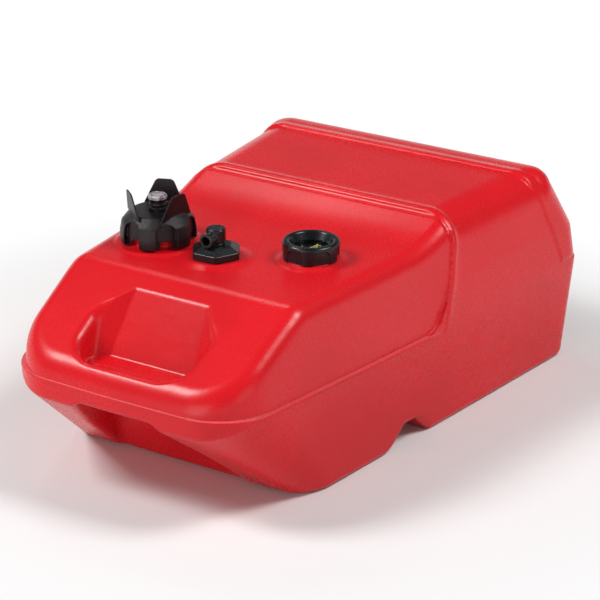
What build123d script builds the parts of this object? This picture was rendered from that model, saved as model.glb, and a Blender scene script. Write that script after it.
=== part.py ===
"""Portable outboard fuel tank: a moulded shell with a vented filler cap, a fuel pickup and a float gauge.

Frame: millimetres, +Z up, X across the tank, the handle end faces -Y. The origin lies on the floor
under the centre of the tank. A station is a distance back from the nose, and a height above the
deck is counted from DECK_TOP.
"""

import math
import os

from build123d import *

# ---------------------------------------------------------------- shell, outside
LENGTH = 563.0  # nose to rear ledge
FRONT_WIDTH = 262.0  # across the parting line at the nose
REAR_WIDTH = 377.0  # across the parting line at the rear
FRONT_BOW = 4.0  # the nose bulges forward by this much at the middle
FRONT_CORNER = 50.0
REAR_CORNER = 26.0
NOSE_TOP = 111.0  # height of the parting line at the nose
NOSE_FOOT = 95.0  # the nose face ends here and the ramp begins
RAMP_FOOT = 112.0  # station where the ramp meets the floor
LEDGE_HEIGHT = 107.0
LEDGE_WIDTH = 4.5  # the lower half stands out this far past the upper one at the rear
KNEE_RISE = 38.0  # the rear face turns inwards this far above the ledge
KNEE_INSET = 4.0
REAR_TOP = 206.0  # height of the rear block
REAR_TOP_INSET = 40.0  # the rear face leans in by this much at the top
SIDE_TOP_INSET = 16.0
FLOOR_INSET = 4.0  # draft of the sides towards the floor
FLOOR_REAR_INSET = 14.0
BOTTOM_EDGE = 6.0
RAMP_CORNER = 24.0  # plan radius of the ramp's corners at the floor
RAMP_CLEAR = 1.0
NOSE_ROUND = 8.0
BLOCK_EDGE = 14.0
STEP_FOOT_STATION = 312.0
STEP_FOOT_HEIGHT = 102.0
STEP_TOP_STATION = 349.0
STEP_FOOT_ROUND = 24.0
STEP_TOP_ROUND = 20.0
WALL = 4.0

# strap groove across the floor
GROOVE_FRONT = 236.0
GROOVE_REAR = 300.0
GROOVE_DEPTH = 21.0
GROOVE_SLOPE = 22.0
GROOVE_FRONT_ROUND = 26.0
GROOVE_ROUND = 8.0

# raised band round the back of the rear block
BAND_RISE = 2.5
BAND_FOOT_INSET = 42.0  # from the rear ledge to the band's front edge, at its foot
BAND_TOP_INSET = 77.0  # and over the top of the rear block

# upper front half, set in from the parting line
LIP = 4.5
NOSE_LIP = 1.0
SHOULDER_HEIGHT = 126.0  # the front slope starts here, over the nose
DECK_TOP = 187.0
DECK_FRONT = 113.0
DECK_REAR = 249.0
UPPER_SIDE_LEAN = 0.105  # the upper half's sides lean in this far for each millimetre up
SLOPE_TOP_DROP = 3.0  # the slope behind the deck ends this far under the rear block's top
BONNET_EDGE = 16.0
DECK_FRONT_ROUND = 30.0
DECK_REAR_ROUND = 60.0
BONNET_FOOT = 80.0  # the upper half's form starts here, inside the lower half
BONNET_REAR = 385.0  # and ends here, inside the rear block

# hand pocket in the front slope
POCKET_HALF_WIDTH = 59.0
POCKET_FRONT = 19.0
POCKET_REAR = 94.0
POCKET_FLOOR_REAR = 58.0
POCKET_FLOOR = 120.0
POCKET_CORNER = 26.0
POCKET_DRAFT = 6.0
POCKET_RIM = 7.0

# hand recess under the nose
RECESS_HALF_WIDTH = 76.0
RECESS_KNEE_HALF_WIDTH = 66.0
RECESS_KNEE = 53.0
RECESS_TOP_HALF_WIDTH = 34.0
RECESS_ROOF_FRONT = 94.0
RECESS_ROOF = 113.0
RECESS_ROOF_START = 36.0
RECESS_ROOF_RISE = (RECESS_ROOF - RECESS_ROOF_FRONT) / RECESS_ROOF_START
RECESS_REAR_FOOT = RAMP_FOOT - 1.0
RECESS_REAR_TOP = 70.0
RECESS_CORNER = 30.0

# ---------------------------------------------------------------- fitting positions
FILLER_X, FILLER_STATION = -78.0, 181.0
PICKUP_X, PICKUP_STATION = -6.8, 175.0
GAUGE_X, GAUGE_STATION = 70.0, 220.0

# clearances
FIT = 0.3  # loose pieces that share no joint
RUNNING = 0.05  # radial, turning shafts
SEAT_GAP = 0.3

# ---------------------------------------------------------------- filler neck and cap
NECK_RADIUS = 27.0
NECK_BORE = 22.0
NECK_HEIGHT = 22.0
NECK_PAD_RADIUS = 42.0
NECK_PAD_RISE = 1.5
CAP_RADIUS = 37.2
CAP_FOOT = 3.0
CAP_SKIRT_RADIUS = 36.0
CAP_BULGE_HEIGHT = 12.0
CAP_SHOULDER_RADIUS = 35.2
CAP_SHOULDER_HEIGHT = 25.0
CAP_CROWN_RADIUS = 28.5
CAP_CROWN_HEIGHT = 32.0
CAP_SHELL_WALL = 2.2
CAP_EDGE = 3.0
CAP_ARCHES = 6
ARCH_WIDTH = 20.0
ARCH_HEIGHT = 25.0
ARCH_CORNER = 7.0
ARCH_DEPTH = 4.4
ARCH_OPEN = 8.0  # the grips are open to the neck up to this height over the foot
ARCH_TURN = 19.0  # degrees, of the first arch from +X
GASKET_THICKNESS = 2.0
INSERT_WALL = 2.7
INSERT_PLATE = 3.0
INSERT_FOOT = 11.0
HUB_RADIUS = 8.0
HUB_HEIGHT = 36.0
PETALS = 3
PETAL_TIP = 54.0
PETAL_FOOT_RADIUS = 23.0
PETAL_LEAN = 4.0
PETAL_WALL = 1.6
PETAL_FOOT_WIDTH = 40.0
PETAL_TIP_WIDTH = 16.5
PETAL_CORNER = 3.0
PETAL_TURN = -9.0  # degrees, of the first petal from +X
VENT_RADIUS = 4.0
VENT_KNOB_RADIUS = 8.4
VENT_KNOB_HEIGHT = 6.0
VENT_LIFT = 2.0
VENT_CLIP_RADIUS = 6.5
VENT_CLIP_THICKNESS = 1.5
O_RING_SECTION = 2.0
DISC_RADIUS = 9.2
DISC_THICKNESS = 4.0
DISC_SPIGOT = 3.0
DISC_SPIGOT_DEPTH = 3.0

# ---------------------------------------------------------------- fuel pickup
PICKUP_BOSS_RADIUS = 34.0
PICKUP_BOSS_TOP = 28.0
PICKUP_BOSS_RISE = 2.5
PICKUP_NECK_RADIUS = 16.0
PICKUP_NECK_BORE = 12.5
PICKUP_NECK_HEIGHT = 5.5  # above the boss
NUT_ACROSS_FLATS = 43.6
NUT_SIDE = 6.5
NUT_SKIRT = 2.0  # height of the round skirt under the flats
NUT_CONE = 5.5
NUT_CONE_RADIUS = 13.0
NUT_TURN = 2.7  # degrees, of the first corner from +X
PICKUP_GASKET = 1.5
PICKUP_FLANGE = 2.0
BARREL_RADIUS = 7.75
BARREL_HEIGHT = 15.5  # above the nut
BARREL_EDGE = 1.0
PORT_RADIUS = 6.2
PORT_BORE = 4.3
PORT_REACH = 17.0
PORT_RISE = 7.0  # port axis above the nut
PORT_DEPTH = 12.0
STEM_RADIUS = 8.0
STEM_DROP = 14.0  # below the deck
CHAMBER_RADIUS = 3.6
SEAT_RADIUS = 2.4
BALL_RADIUS = 3.2
SEAT_HEIGHT = -2.0
SPRING_WIRE = 0.35
SPRING_RADIUS = 2.5
SPRING_TURNS = 7.0
PLUG_RADIUS = 6.2
PLUG_THICKNESS = 3.0
PLUG_STEM = 3.0
PLUG_SLOT = 1.4
TUBE_RADIUS = 5.0
TUBE_BORE = 3.5
TUBE_SOCKET = 10.0
TUBE_END = 12.0  # height over the floor
SCREEN_RADIUS = 7.5
SCREEN_LENGTH = 26.0
SCREEN_WINDOWS = 6
SCREEN_WINDOW = 3.0
SCREEN_RIM = 3.0
SCREEN_FOOT_HEIGHT = 6.0  # height over the floor
SCREEN_FLOOR = 2.0

# ---------------------------------------------------------------- float gauge
GAUGE_BOSS_RADIUS = 33.0
GAUGE_BOSS_TOP = 29.0
GAUGE_BOSS_RISE = 2.5
GAUGE_NECK_RADIUS = 23.5
GAUGE_NECK_BORE = 20.0
GAUGE_NECK_HEIGHT = 7.0
GAUGE_GASKET = 1.5
BOWL_FLANGE = 2.0
BOWL_RADIUS = 19.0
BOWL_INNER = 16.4
BOWL_FLOOR_THICKNESS = 4.0
BOWL_DEPTH = 4.5
LENS_RADIUS = 17.3
LENS_THICKNESS = 1.5
LENS_FIT = 0.1
RING_RADIUS = 27.3
RING_HEIGHT = 16.0
RING_ROUND = 3.0
RING_RECESSES = 6
RING_RECESS_WIDTH = 15.0
RING_RECESS_DEPTH = 2.6
RING_RECESS_HEIGHT = 12.0
RING_RECESS_CORNER = 5.0
RING_TURN = 25.0  # degrees, of the first recess from +X
RING_MOUTH = 21.5
POINTER_WIDTH = 7.0
POINTER_LENGTH = 14.0
POINTER_THICKNESS = 1.0
POINTER_TIP = 1.5
POINTER_HUB = 3.0
JOURNAL_RADIUS = 1.5
ROD_RADIUS = 1.5
ROD_OFFSET = 9.5
ROD_SOCKET = 3.0
BRACKET_RADIUS = 13.0
BRACKET_THICKNESS = 4.0
BRACKET_HEIGHT = 10.0  # over the floor
FLOAT_RADIUS = 17.5
FLOAT_HEIGHT = 28.0
FLOAT_BORE = 4.5
FLOAT_EDGE = 2.0
PLATE_RADIUS = 6.5
PLATE_THICKNESS = 1.5
STRIP_WIDTH = 5.0
STRIP_THICKNESS = 0.6
STRIP_TWIST = 270.0  # degrees over the float's travel
STRIP_STEP = 12.0  # degrees of twist from one section to the next
SLOT_CLEARANCE = 0.35

# ---------------------------------------------------------------- stacked heights over the deck
GASKET_TOP = NECK_HEIGHT + GASKET_THICKNESS
INSERT_TOP = GASKET_TOP + INSERT_PLATE
INSERT_RADIUS = NECK_RADIUS + FIT + INSERT_WALL
HUB_TOP = HUB_HEIGHT
KNOB_FOOT = HUB_TOP + O_RING_SECTION
KNOB_TOP = KNOB_FOOT + VENT_KNOB_HEIGHT
VENT_FOOT = GASKET_TOP - VENT_LIFT - SEAT_GAP - VENT_CLIP_THICKNESS
PETAL_RISE = PETAL_TIP - CAP_CROWN_HEIGHT + CAP_SHELL_WALL

PICKUP_NECK_TOP = PICKUP_BOSS_RISE + PICKUP_NECK_HEIGHT
PICKUP_GASKET_TOP = PICKUP_NECK_TOP + PICKUP_GASKET
PICKUP_FLANGE_TOP = PICKUP_GASKET_TOP + PICKUP_FLANGE
NUT_FOOT = PICKUP_BOSS_RISE + SEAT_GAP
NUT_TOP = NUT_FOOT + NUT_SIDE + NUT_CONE
BARREL_TOP = NUT_TOP + BARREL_HEIGHT
PORT_HEIGHT = NUT_TOP + PORT_RISE
BALL_CENTRE = SEAT_HEIGHT + math.sqrt(BALL_RADIUS**2 - SEAT_RADIUS**2) + RUNNING
SCREEN_FOOT = SCREEN_FOOT_HEIGHT - DECK_TOP

GAUGE_NECK_TOP = GAUGE_BOSS_RISE + GAUGE_NECK_HEIGHT
GAUGE_GASKET_TOP = GAUGE_NECK_TOP + GAUGE_GASKET
BOWL_TOP = GAUGE_GASKET_TOP + BOWL_FLANGE
BOWL_FLOOR = BOWL_TOP - LENS_THICKNESS - BOWL_DEPTH
BOWL_BOTTOM = BOWL_FLOOR - BOWL_FLOOR_THICKNESS
POINTER_HEIGHT = BOWL_FLOOR + (BOWL_DEPTH - POINTER_THICKNESS) / 2
RING_FOOT = GAUGE_BOSS_RISE + SEAT_GAP
RING_TOP = RING_FOOT + RING_HEIGHT
BRACKET_TOP = BRACKET_HEIGHT + BRACKET_THICKNESS - DECK_TOP
FLOAT_FOOT = BRACKET_TOP + SEAT_GAP
FLOAT_TOP = FLOAT_FOOT + FLOAT_HEIGHT
FLOAT_TRAVEL = BOWL_BOTTOM - SEAT_GAP - FLOAT_TOP
STRIP_FOOT = BRACKET_TOP + SEAT_GAP
STRIP_TOP = BOWL_BOTTOM - SEAT_GAP

# ---------------------------------------------------------------- planes
SIDE = Plane(origin=(0, -LENGTH / 2, 0), x_dir=(0, 1, 0), z_dir=(1, 0, 0))
FRONT = Plane(origin=(0, -LENGTH / 2, 0), x_dir=(1, 0, 0), z_dir=(0, -1, 0))
FILLER = Plane(origin=(FILLER_X, FILLER_STATION - LENGTH / 2, DECK_TOP))
PICKUP = Plane(origin=(PICKUP_X, PICKUP_STATION - LENGTH / 2, DECK_TOP))
GAUGE = Plane(origin=(GAUGE_X, GAUGE_STATION - LENGTH / 2, DECK_TOP))


# ---------------------------------------------------------------- helpers
def turn(base, corners, mode=Mode.ADD):
    """Turn a ring about a fitting's axis; each corner is (radius, height over the base)."""
    section_plane = Plane(origin=base.origin, x_dir=base.x_dir, z_dir=-base.y_dir)
    with BuildSketch(section_plane) as section:
        with BuildLine():
            Polyline(*corners, close=True)
        make_face()
    revolve(section.sketch, axis=Axis(base.origin, base.z_dir), mode=mode)


def drum(base, radius, low, high, mode=Mode.ADD):
    """Add or cut a plain round drum between two heights over the base."""
    with BuildSketch(base.offset(low)) as section:
        Circle(radius)
    extrude(section.sketch, amount=high - low, mode=mode)


def corner(sketch, station, height):
    """The corner of a profile nearest to a point."""
    return sketch.vertices().sort_by_distance((station, height, 0))[0]


def finish(piece, name):
    """Label a piece and write it to its own file."""
    piece.part.label = name
    export_step(piece.part, f"parts/{name}.step")


# ---------------------------------------------------------------- shell forms
SLOPE = (DECK_TOP - SHOULDER_HEIGHT) / DECK_FRONT
TAPER = (REAR_WIDTH - FRONT_WIDTH) / 2 / (LENGTH - FRONT_BOW)


def plan(height, side_inset, rear_station, inset, front_inset=0.0, front_corner=FRONT_CORNER):
    """Plan outline of the shell at a height: a taper with a bowed front and round corners."""
    front_half = FRONT_WIDTH / 2 + TAPER * front_inset - side_inset - inset
    rear_half = front_half + TAPER * (rear_station - FRONT_BOW - front_inset)
    front_y = FRONT_BOW + front_inset + inset - LENGTH / 2
    rear_y = rear_station - inset - LENGTH / 2
    with BuildSketch(Plane.XY.offset(height)) as outline:
        with BuildLine():
            ThreePointArc((-front_half, front_y), (0, front_y - FRONT_BOW), (front_half, front_y))
            Polyline((front_half, front_y), (rear_half, rear_y), (-rear_half, rear_y), (-front_half, front_y))
        make_face()
        fillet(outline.vertices().group_by(Axis.Y)[0], front_corner - inset)
        fillet(outline.vertices().group_by(Axis.Y)[-1], REAR_CORNER - inset)
    return outline.sketch.face()


def ramp_form(inset):
    """Space behind the ramp under the nose; its round corners grow towards the top."""
    ramp_length = math.hypot(RAMP_FOOT, NOSE_FOOT)
    foot = RAMP_FOOT - FRONT_BOW + inset * (ramp_length - NOSE_FOOT) / NOSE_FOOT
    clear = FLOOR_INSET - RAMP_CLEAR
    steps = 3
    rise = steps * NOSE_FOOT
    top_clear = clear - rise * FLOOR_INSET / LEDGE_HEIGHT
    top_corner = RAMP_CORNER + steps * (FRONT_CORNER - RAMP_CORNER)
    with BuildPart() as form:
        loft(
            [
                plan(0, clear, LENGTH, inset, foot, RAMP_CORNER),
                plan(rise, top_clear, LENGTH, inset, foot - steps * RAMP_FOOT, top_corner),
            ],
            ruled=True,
        )
    return form.part


def on_nose(edge):
    """True for an edge where the ramp meets the nose and its corners."""
    box = edge.bounding_box()
    at_front = box.max.Y < FRONT_CORNER - LENGTH / 2
    return at_front and NOSE_FOOT - FRONT_CORNER / 2 < box.min.Z and box.max.Z < NOSE_FOOT


def tub_form(inset):
    """Lower half and rear block, each face moved inwards by an inset."""
    with BuildPart() as form:
        loft(
            [
                plan(inset, FLOOR_INSET, LENGTH - FLOOR_REAR_INSET, inset),
                plan(LEDGE_HEIGHT, 0, LENGTH, inset),
            ],
            ruled=True,
        )
        loft(
            [
                plan(LEDGE_HEIGHT, 0, LENGTH - LEDGE_WIDTH, inset),
                plan(LEDGE_HEIGHT + KNEE_RISE, SIDE_TOP_INSET / 4, LENGTH - LEDGE_WIDTH - KNEE_INSET, inset),
                plan(REAR_TOP - inset, SIDE_TOP_INSET, LENGTH - REAR_TOP_INSET, inset),
            ],
            ruled=True,
        )
        fillet(form.faces().sort_by(Axis.Z)[-1].edges(), BLOCK_EDGE - inset)
        fillet(form.faces().sort_by(Axis.Z)[0].edges(), BOTTOM_EDGE - inset)
        with BuildSketch(SIDE) as profile:
            with BuildLine():
                Polyline(
                    (-WALL, NOSE_TOP),
                    (-WALL, 0),
                    (GROOVE_FRONT, 0),
                    (GROOVE_FRONT + GROOVE_SLOPE, GROOVE_DEPTH),
                    (GROOVE_REAR - GROOVE_SLOPE, GROOVE_DEPTH),
                    (GROOVE_REAR, 0),
                    (LENGTH + WALL, 0),
                    (LENGTH + WALL, REAR_TOP),
                    (STEP_TOP_STATION, REAR_TOP),
                    (STEP_FOOT_STATION, STEP_FOOT_HEIGHT),
                    close=True,
                )
            make_face()
            fillet(corner(profile, GROOVE_FRONT, 0), GROOVE_FRONT_ROUND)
            fillet(corner(profile, GROOVE_FRONT + GROOVE_SLOPE, GROOVE_DEPTH), GROOVE_ROUND)
            fillet(corner(profile, GROOVE_REAR - GROOVE_SLOPE, GROOVE_DEPTH), GROOVE_ROUND)
            fillet(corner(profile, GROOVE_REAR, 0), GROOVE_ROUND)
            fillet(corner(profile, STEP_TOP_STATION, REAR_TOP), STEP_TOP_ROUND)
            fillet(corner(profile, STEP_FOOT_STATION, STEP_FOOT_HEIGHT), STEP_FOOT_ROUND)
            if inset:
                offset(amount=-inset)
        extrude(profile.sketch, amount=REAR_WIDTH, both=True, mode=Mode.INTERSECT)
        add(ramp_form(inset), mode=Mode.INTERSECT)
        if not inset:
            fillet(form.edges().filter_by(on_nose), NOSE_ROUND)
    return form.part


def bonnet_form(inset):
    """Upper front half: nose shoulder, front slope, deck and the slope up to the rear block."""
    foot_inset = LIP - UPPER_SIDE_LEAN * (LEDGE_HEIGHT - BONNET_FOOT)
    top_inset = LIP + UPPER_SIDE_LEAN * (REAR_TOP - LEDGE_HEIGHT)
    with BuildPart() as form:
        loft(
            [
                plan(BONNET_FOOT + inset, foot_inset, BONNET_REAR, inset, NOSE_LIP),
                plan(REAR_TOP, top_inset, BONNET_REAR, inset, NOSE_LIP),
            ],
            ruled=True,
        )
        with BuildSketch(SIDE) as profile:
            with BuildLine():
                Polyline(
                    (-LIP, NOSE_TOP - LIP),
                    (-LIP, SHOULDER_HEIGHT - SLOPE * LIP),
                    (DECK_FRONT, DECK_TOP),
                    (DECK_REAR, DECK_TOP),
                    (STEP_TOP_STATION, REAR_TOP - SLOPE_TOP_DROP),
                    (BONNET_REAR, REAR_TOP - SLOPE_TOP_DROP),
                    (BONNET_REAR, BONNET_FOOT),
                    (RAMP_FOOT, BONNET_FOOT),
                    close=True,
                )
            make_face()
            fillet(corner(profile, DECK_FRONT, DECK_TOP), DECK_FRONT_ROUND)
            fillet(corner(profile, DECK_REAR, DECK_TOP), DECK_REAR_ROUND)
            if inset:
                offset(amount=-inset)
        extrude(profile.sketch, amount=REAR_WIDTH, both=True, mode=Mode.INTERSECT)
        crossing = form.edges().filter_by(Axis.X)
        rim = form.edges().filter_by(lambda edge: edge.bounding_box().min.Z > NOSE_TOP) - crossing
        last_y = BONNET_REAR - LENGTH / 2 - 1
        fillet(rim.filter_by(lambda edge: edge.bounding_box().max.Y < last_y), BONNET_EDGE - inset)
    return form.part


def pocket_form(grow):
    """Space of the hand pocket in the front slope, each face moved outwards by an amount."""
    with BuildPart() as form:
        with BuildSketch(Plane.XY.offset(POCKET_FLOOR - grow)) as mouth:
            with Locations((0, (POCKET_FRONT + POCKET_REAR - LENGTH) / 2)):
                Rectangle(2 * (POCKET_HALF_WIDTH + grow), POCKET_REAR - POCKET_FRONT + 2 * grow)
            fillet(mouth.vertices().group_by(Axis.Y)[0], POCKET_CORNER + grow)
            fillet(mouth.vertices().group_by(Axis.Y)[-1], POCKET_RIM + grow)
        extrude(mouth.sketch, amount=REAR_TOP - POCKET_FLOOR, taper=-POCKET_DRAFT)
        with BuildSketch(SIDE) as profile:
            with BuildLine():
                Polyline(
                    (-POCKET_FRONT, POCKET_FLOOR),
                    (POCKET_FLOOR_REAR, POCKET_FLOOR),
                    (POCKET_REAR, SHOULDER_HEIGHT + SLOPE * POCKET_REAR),
                    (POCKET_REAR + POCKET_FRONT, 2 * REAR_TOP),
                    (-POCKET_FRONT, 2 * REAR_TOP),
                    close=True,
                )
            make_face()
            fillet(corner(profile, POCKET_FLOOR_REAR, POCKET_FLOOR), POCKET_RIM)
            if grow:
                offset(amount=grow)
        extrude(profile.sketch, amount=REAR_WIDTH, both=True, mode=Mode.INTERSECT)
    return form.part


def recess_form(grow):
    """Space of the hand recess under the nose, each face moved outwards by an amount."""
    with BuildPart() as form:
        with BuildSketch(FRONT.offset(WALL)) as arch:
            with BuildLine():
                Polyline(
                    (-RECESS_HALF_WIDTH, -WALL),
                    (RECESS_HALF_WIDTH, -WALL),
                    (RECESS_KNEE_HALF_WIDTH, RECESS_KNEE),
                    (RECESS_TOP_HALF_WIDTH, RECESS_ROOF),
                    (-RECESS_TOP_HALF_WIDTH, RECESS_ROOF),
                    (-RECESS_KNEE_HALF_WIDTH, RECESS_KNEE),
                    close=True,
                )
            make_face()
            fillet(corner(arch, RECESS_KNEE_HALF_WIDTH, RECESS_KNEE), RECESS_CORNER)
            fillet(corner(arch, -RECESS_KNEE_HALF_WIDTH, RECESS_KNEE), RECESS_CORNER)
            if grow:
                offset(amount=grow)
        extrude(arch.sketch, amount=-RECESS_REAR_FOOT - 2 * WALL)
        with BuildSketch(SIDE) as profile:
            with BuildLine():
                Polyline(
                    (-WALL, -WALL),
                    (RECESS_REAR_FOOT, -WALL),
                    (RECESS_REAR_FOOT, 0),
                    (RECESS_REAR_TOP, RECESS_ROOF),
                    (RECESS_ROOF_START, RECESS_ROOF),
                    (-WALL, RECESS_ROOF_FRONT - WALL * RECESS_ROOF_RISE),
                    close=True,
                )
            make_face()
            fillet(corner(profile, RECESS_REAR_TOP, RECESS_ROOF), GROOVE_ROUND)
            if grow:
                offset(amount=grow)
        extrude(profile.sketch, amount=REAR_WIDTH, both=True, mode=Mode.INTERSECT)
    return form.part


def band_form():
    """Raised band that runs over the back of the rear block and down its rear corners."""
    proud = -BAND_RISE / 2
    top_station = LENGTH - BAND_TOP_INSET
    with BuildPart() as form:
        loft(
            [
                plan(LEDGE_HEIGHT, 0, LENGTH - LEDGE_WIDTH, proud),
                plan(LEDGE_HEIGHT + KNEE_RISE, SIDE_TOP_INSET / 4, LENGTH - LEDGE_WIDTH - KNEE_INSET, proud),
                plan(REAR_TOP + BAND_RISE, SIDE_TOP_INSET, LENGTH - REAR_TOP_INSET, proud),
            ],
            ruled=True,
        )
        fillet(form.faces().sort_by(Axis.Z)[-1].edges(), BLOCK_EDGE)
        with BuildSketch(SIDE) as profile:
            with BuildLine():
                Polyline(
                    (LENGTH - BAND_FOOT_INSET, LEDGE_HEIGHT),
                    (top_station, REAR_TOP - BLOCK_EDGE),
                    (top_station, REAR_TOP + 2 * BAND_RISE),
                    (LENGTH, REAR_TOP + 2 * BAND_RISE),
                    (LENGTH, LEDGE_HEIGHT),
                    close=True,
                )
            make_face()
            fillet(corner(profile, top_station, REAR_TOP - BLOCK_EDGE), BLOCK_EDGE)
        extrude(profile.sketch, amount=REAR_WIDTH, both=True, mode=Mode.INTERSECT)
    return form.part


def on_slope(edge):
    """True for an edge that lies in the plane of the front slope."""
    middle = edge.center()
    return abs(middle.Z - SHOULDER_HEIGHT - SLOPE * (middle.Y + LENGTH / 2)) < 0.5


os.makedirs("parts", exist_ok=True)

# ---------------------------------------------------------------- tank shell
tub_core = tub_form(WALL)
bonnet_core = bonnet_form(WALL)

with BuildPart() as cavity:
    add(tub_core)
    add(bonnet_core)
    add(pocket_form(WALL), mode=Mode.SUBTRACT)
    add(recess_form(WALL), mode=Mode.SUBTRACT)

with BuildPart() as tank_body:
    add(tub_form(0))
    add(bonnet_form(0))
    add(band_form())
    add(pocket_form(0), mode=Mode.SUBTRACT)
    fillet(tank_body.edges(Select.NEW).filter_by(on_slope), POCKET_RIM)
    add(recess_form(0), mode=Mode.SUBTRACT)
    add(cavity.part, mode=Mode.SUBTRACT)
    # raised pads under the three fittings
    for base, foot_radius, top_radius, rise in (
        (FILLER, NECK_PAD_RADIUS, NECK_PAD_RADIUS - NECK_PAD_RISE, NECK_PAD_RISE),
        (PICKUP, PICKUP_BOSS_RADIUS, PICKUP_BOSS_TOP, PICKUP_BOSS_RISE),
        (GAUGE, GAUGE_BOSS_RADIUS, GAUGE_BOSS_TOP, GAUGE_BOSS_RISE),
    ):
        turn(base, [(0, -WALL), (foot_radius, -WALL), (foot_radius, 0), (top_radius, rise), (0, rise)])
    # the necks and their bores
    drum(FILLER, NECK_RADIUS, 0, NECK_HEIGHT)
    drum(PICKUP, PICKUP_NECK_RADIUS, 0, PICKUP_NECK_TOP)
    drum(GAUGE, GAUGE_NECK_RADIUS, 0, GAUGE_NECK_TOP)
    drum(FILLER, NECK_BORE, -2 * WALL, NECK_HEIGHT, mode=Mode.SUBTRACT)
    drum(PICKUP, PICKUP_NECK_BORE, -2 * WALL, PICKUP_NECK_TOP, mode=Mode.SUBTRACT)
    drum(GAUGE, GAUGE_NECK_BORE, -2 * WALL, GAUGE_NECK_TOP, mode=Mode.SUBTRACT)
finish(tank_body, "tank_body")

# ---------------------------------------------------------------- filler cap
with BuildPart() as cap_gasket:
    drum(FILLER, NECK_RADIUS, NECK_HEIGHT, GASKET_TOP)
    drum(FILLER, NECK_BORE, NECK_HEIGHT, GASKET_TOP, mode=Mode.SUBTRACT)
finish(cap_gasket, "cap_gasket")

with BuildPart() as cap_insert:
    drum(FILLER, INSERT_RADIUS, INSERT_FOOT, INSERT_TOP)
    drum(FILLER, HUB_RADIUS, INSERT_TOP, HUB_TOP)
    drum(FILLER, NECK_RADIUS + FIT, INSERT_FOOT, GASKET_TOP, mode=Mode.SUBTRACT)
    drum(FILLER, VENT_RADIUS + RUNNING, GASKET_TOP, HUB_TOP, mode=Mode.SUBTRACT)
finish(cap_insert, "cap_insert")

with BuildPart() as cap_shell:
    turn(
        FILLER,
        [
            (0, CAP_FOOT),
            (CAP_SKIRT_RADIUS, CAP_FOOT),
            (CAP_RADIUS, CAP_BULGE_HEIGHT),
            (CAP_SHOULDER_RADIUS, CAP_SHOULDER_HEIGHT),
            (CAP_CROWN_RADIUS, CAP_CROWN_HEIGHT),
            (0, CAP_CROWN_HEIGHT),
        ],
    )
    fillet(cap_shell.edges().filter_by(GeomType.CIRCLE).sort_by(Axis.Z)[-2:], CAP_EDGE)
    # arched finger grips round the skirt, open to the neck at their foot
    for grip in PolarLocations(0, CAP_ARCHES, start_angle=ARCH_TURN).local_locations:
        outward = Plane(FILLER.location * grip)
        for depth, height in ((CAP_RADIUS - ARCH_DEPTH, ARCH_HEIGHT), (INSERT_RADIUS, ARCH_OPEN)):
            face_origin = outward.origin + outward.x_dir * depth
            with BuildSketch(Plane(origin=face_origin, x_dir=outward.y_dir, z_dir=outward.x_dir)) as arch:
                with Locations((0, CAP_FOOT + height / 2)):
                    Rectangle(ARCH_WIDTH, height)
                if height > ARCH_OPEN:
                    fillet(arch.vertices().group_by(Axis.Y)[-1], ARCH_CORNER)
            extrude(arch.sketch, amount=CAP_RADIUS, mode=Mode.SUBTRACT)
    drum(FILLER, INSERT_RADIUS + FIT, CAP_FOOT, INSERT_TOP, mode=Mode.SUBTRACT)
    drum(FILLER, HUB_RADIUS + FIT, INSERT_TOP, CAP_CROWN_HEIGHT, mode=Mode.SUBTRACT)
    # three leaning petals on the crown
    for petal in PolarLocations(PETAL_FOOT_RADIUS, PETALS, start_angle=PETAL_TURN).local_locations:
        foot = Plane(FILLER.location * petal)
        leaning = Plane(
            origin=foot.origin + foot.z_dir * (CAP_CROWN_HEIGHT - CAP_SHELL_WALL),
            x_dir=foot.y_dir,
            z_dir=foot.x_dir * PETAL_RISE - foot.z_dir * PETAL_LEAN,
        )
        with BuildSketch(leaning) as blade:
            with BuildLine():
                Polyline(
                    (-PETAL_FOOT_WIDTH / 2, 0),
                    (PETAL_FOOT_WIDTH / 2, 0),
                    (PETAL_TIP_WIDTH / 2, PETAL_RISE),
                    (-PETAL_TIP_WIDTH / 2, PETAL_RISE),
                    close=True,
                )
            make_face()
            fillet(blade.vertices().group_by(Axis.Y)[-1], PETAL_CORNER)
        extrude(blade.sketch, amount=PETAL_WALL)
finish(cap_shell, "cap_shell")

with BuildPart() as vent_o_ring:
    ring_path_radius = VENT_RADIUS + FIT + O_RING_SECTION / 2
    with BuildSketch(Plane(origin=FILLER.origin, x_dir=(1, 0, 0), z_dir=(0, -1, 0))) as bead:
        with Locations((ring_path_radius, HUB_TOP + O_RING_SECTION / 2)):
            Circle(O_RING_SECTION / 2)
    revolve(bead.sketch, axis=Axis(FILLER.origin, (0, 0, 1)))
finish(vent_o_ring, "vent_o_ring")

with BuildPart() as vent_stem:
    drum(FILLER, VENT_RADIUS, VENT_FOOT, KNOB_FOOT)
    drum(FILLER, VENT_KNOB_RADIUS, KNOB_FOOT, KNOB_TOP)
    drum(FILLER, DISC_SPIGOT, KNOB_TOP - DISC_SPIGOT_DEPTH, KNOB_TOP, mode=Mode.SUBTRACT)
finish(vent_stem, "vent_stem")

with BuildPart() as vent_clip:
    drum(FILLER, VENT_CLIP_RADIUS, VENT_FOOT, VENT_FOOT + VENT_CLIP_THICKNESS)
    drum(FILLER, VENT_RADIUS, VENT_FOOT, VENT_FOOT + VENT_CLIP_THICKNESS, mode=Mode.SUBTRACT)
finish(vent_clip, "vent_clip")

with BuildPart() as vent_disc:
    drum(FILLER, DISC_RADIUS, KNOB_TOP, KNOB_TOP + DISC_THICKNESS)
    fillet(vent_disc.edges().sort_by(Axis.Z)[-1], DISC_THICKNESS / 2)
    drum(FILLER, DISC_SPIGOT, KNOB_TOP - DISC_SPIGOT_DEPTH, KNOB_TOP)
finish(vent_disc, "vent_disc")

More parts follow.
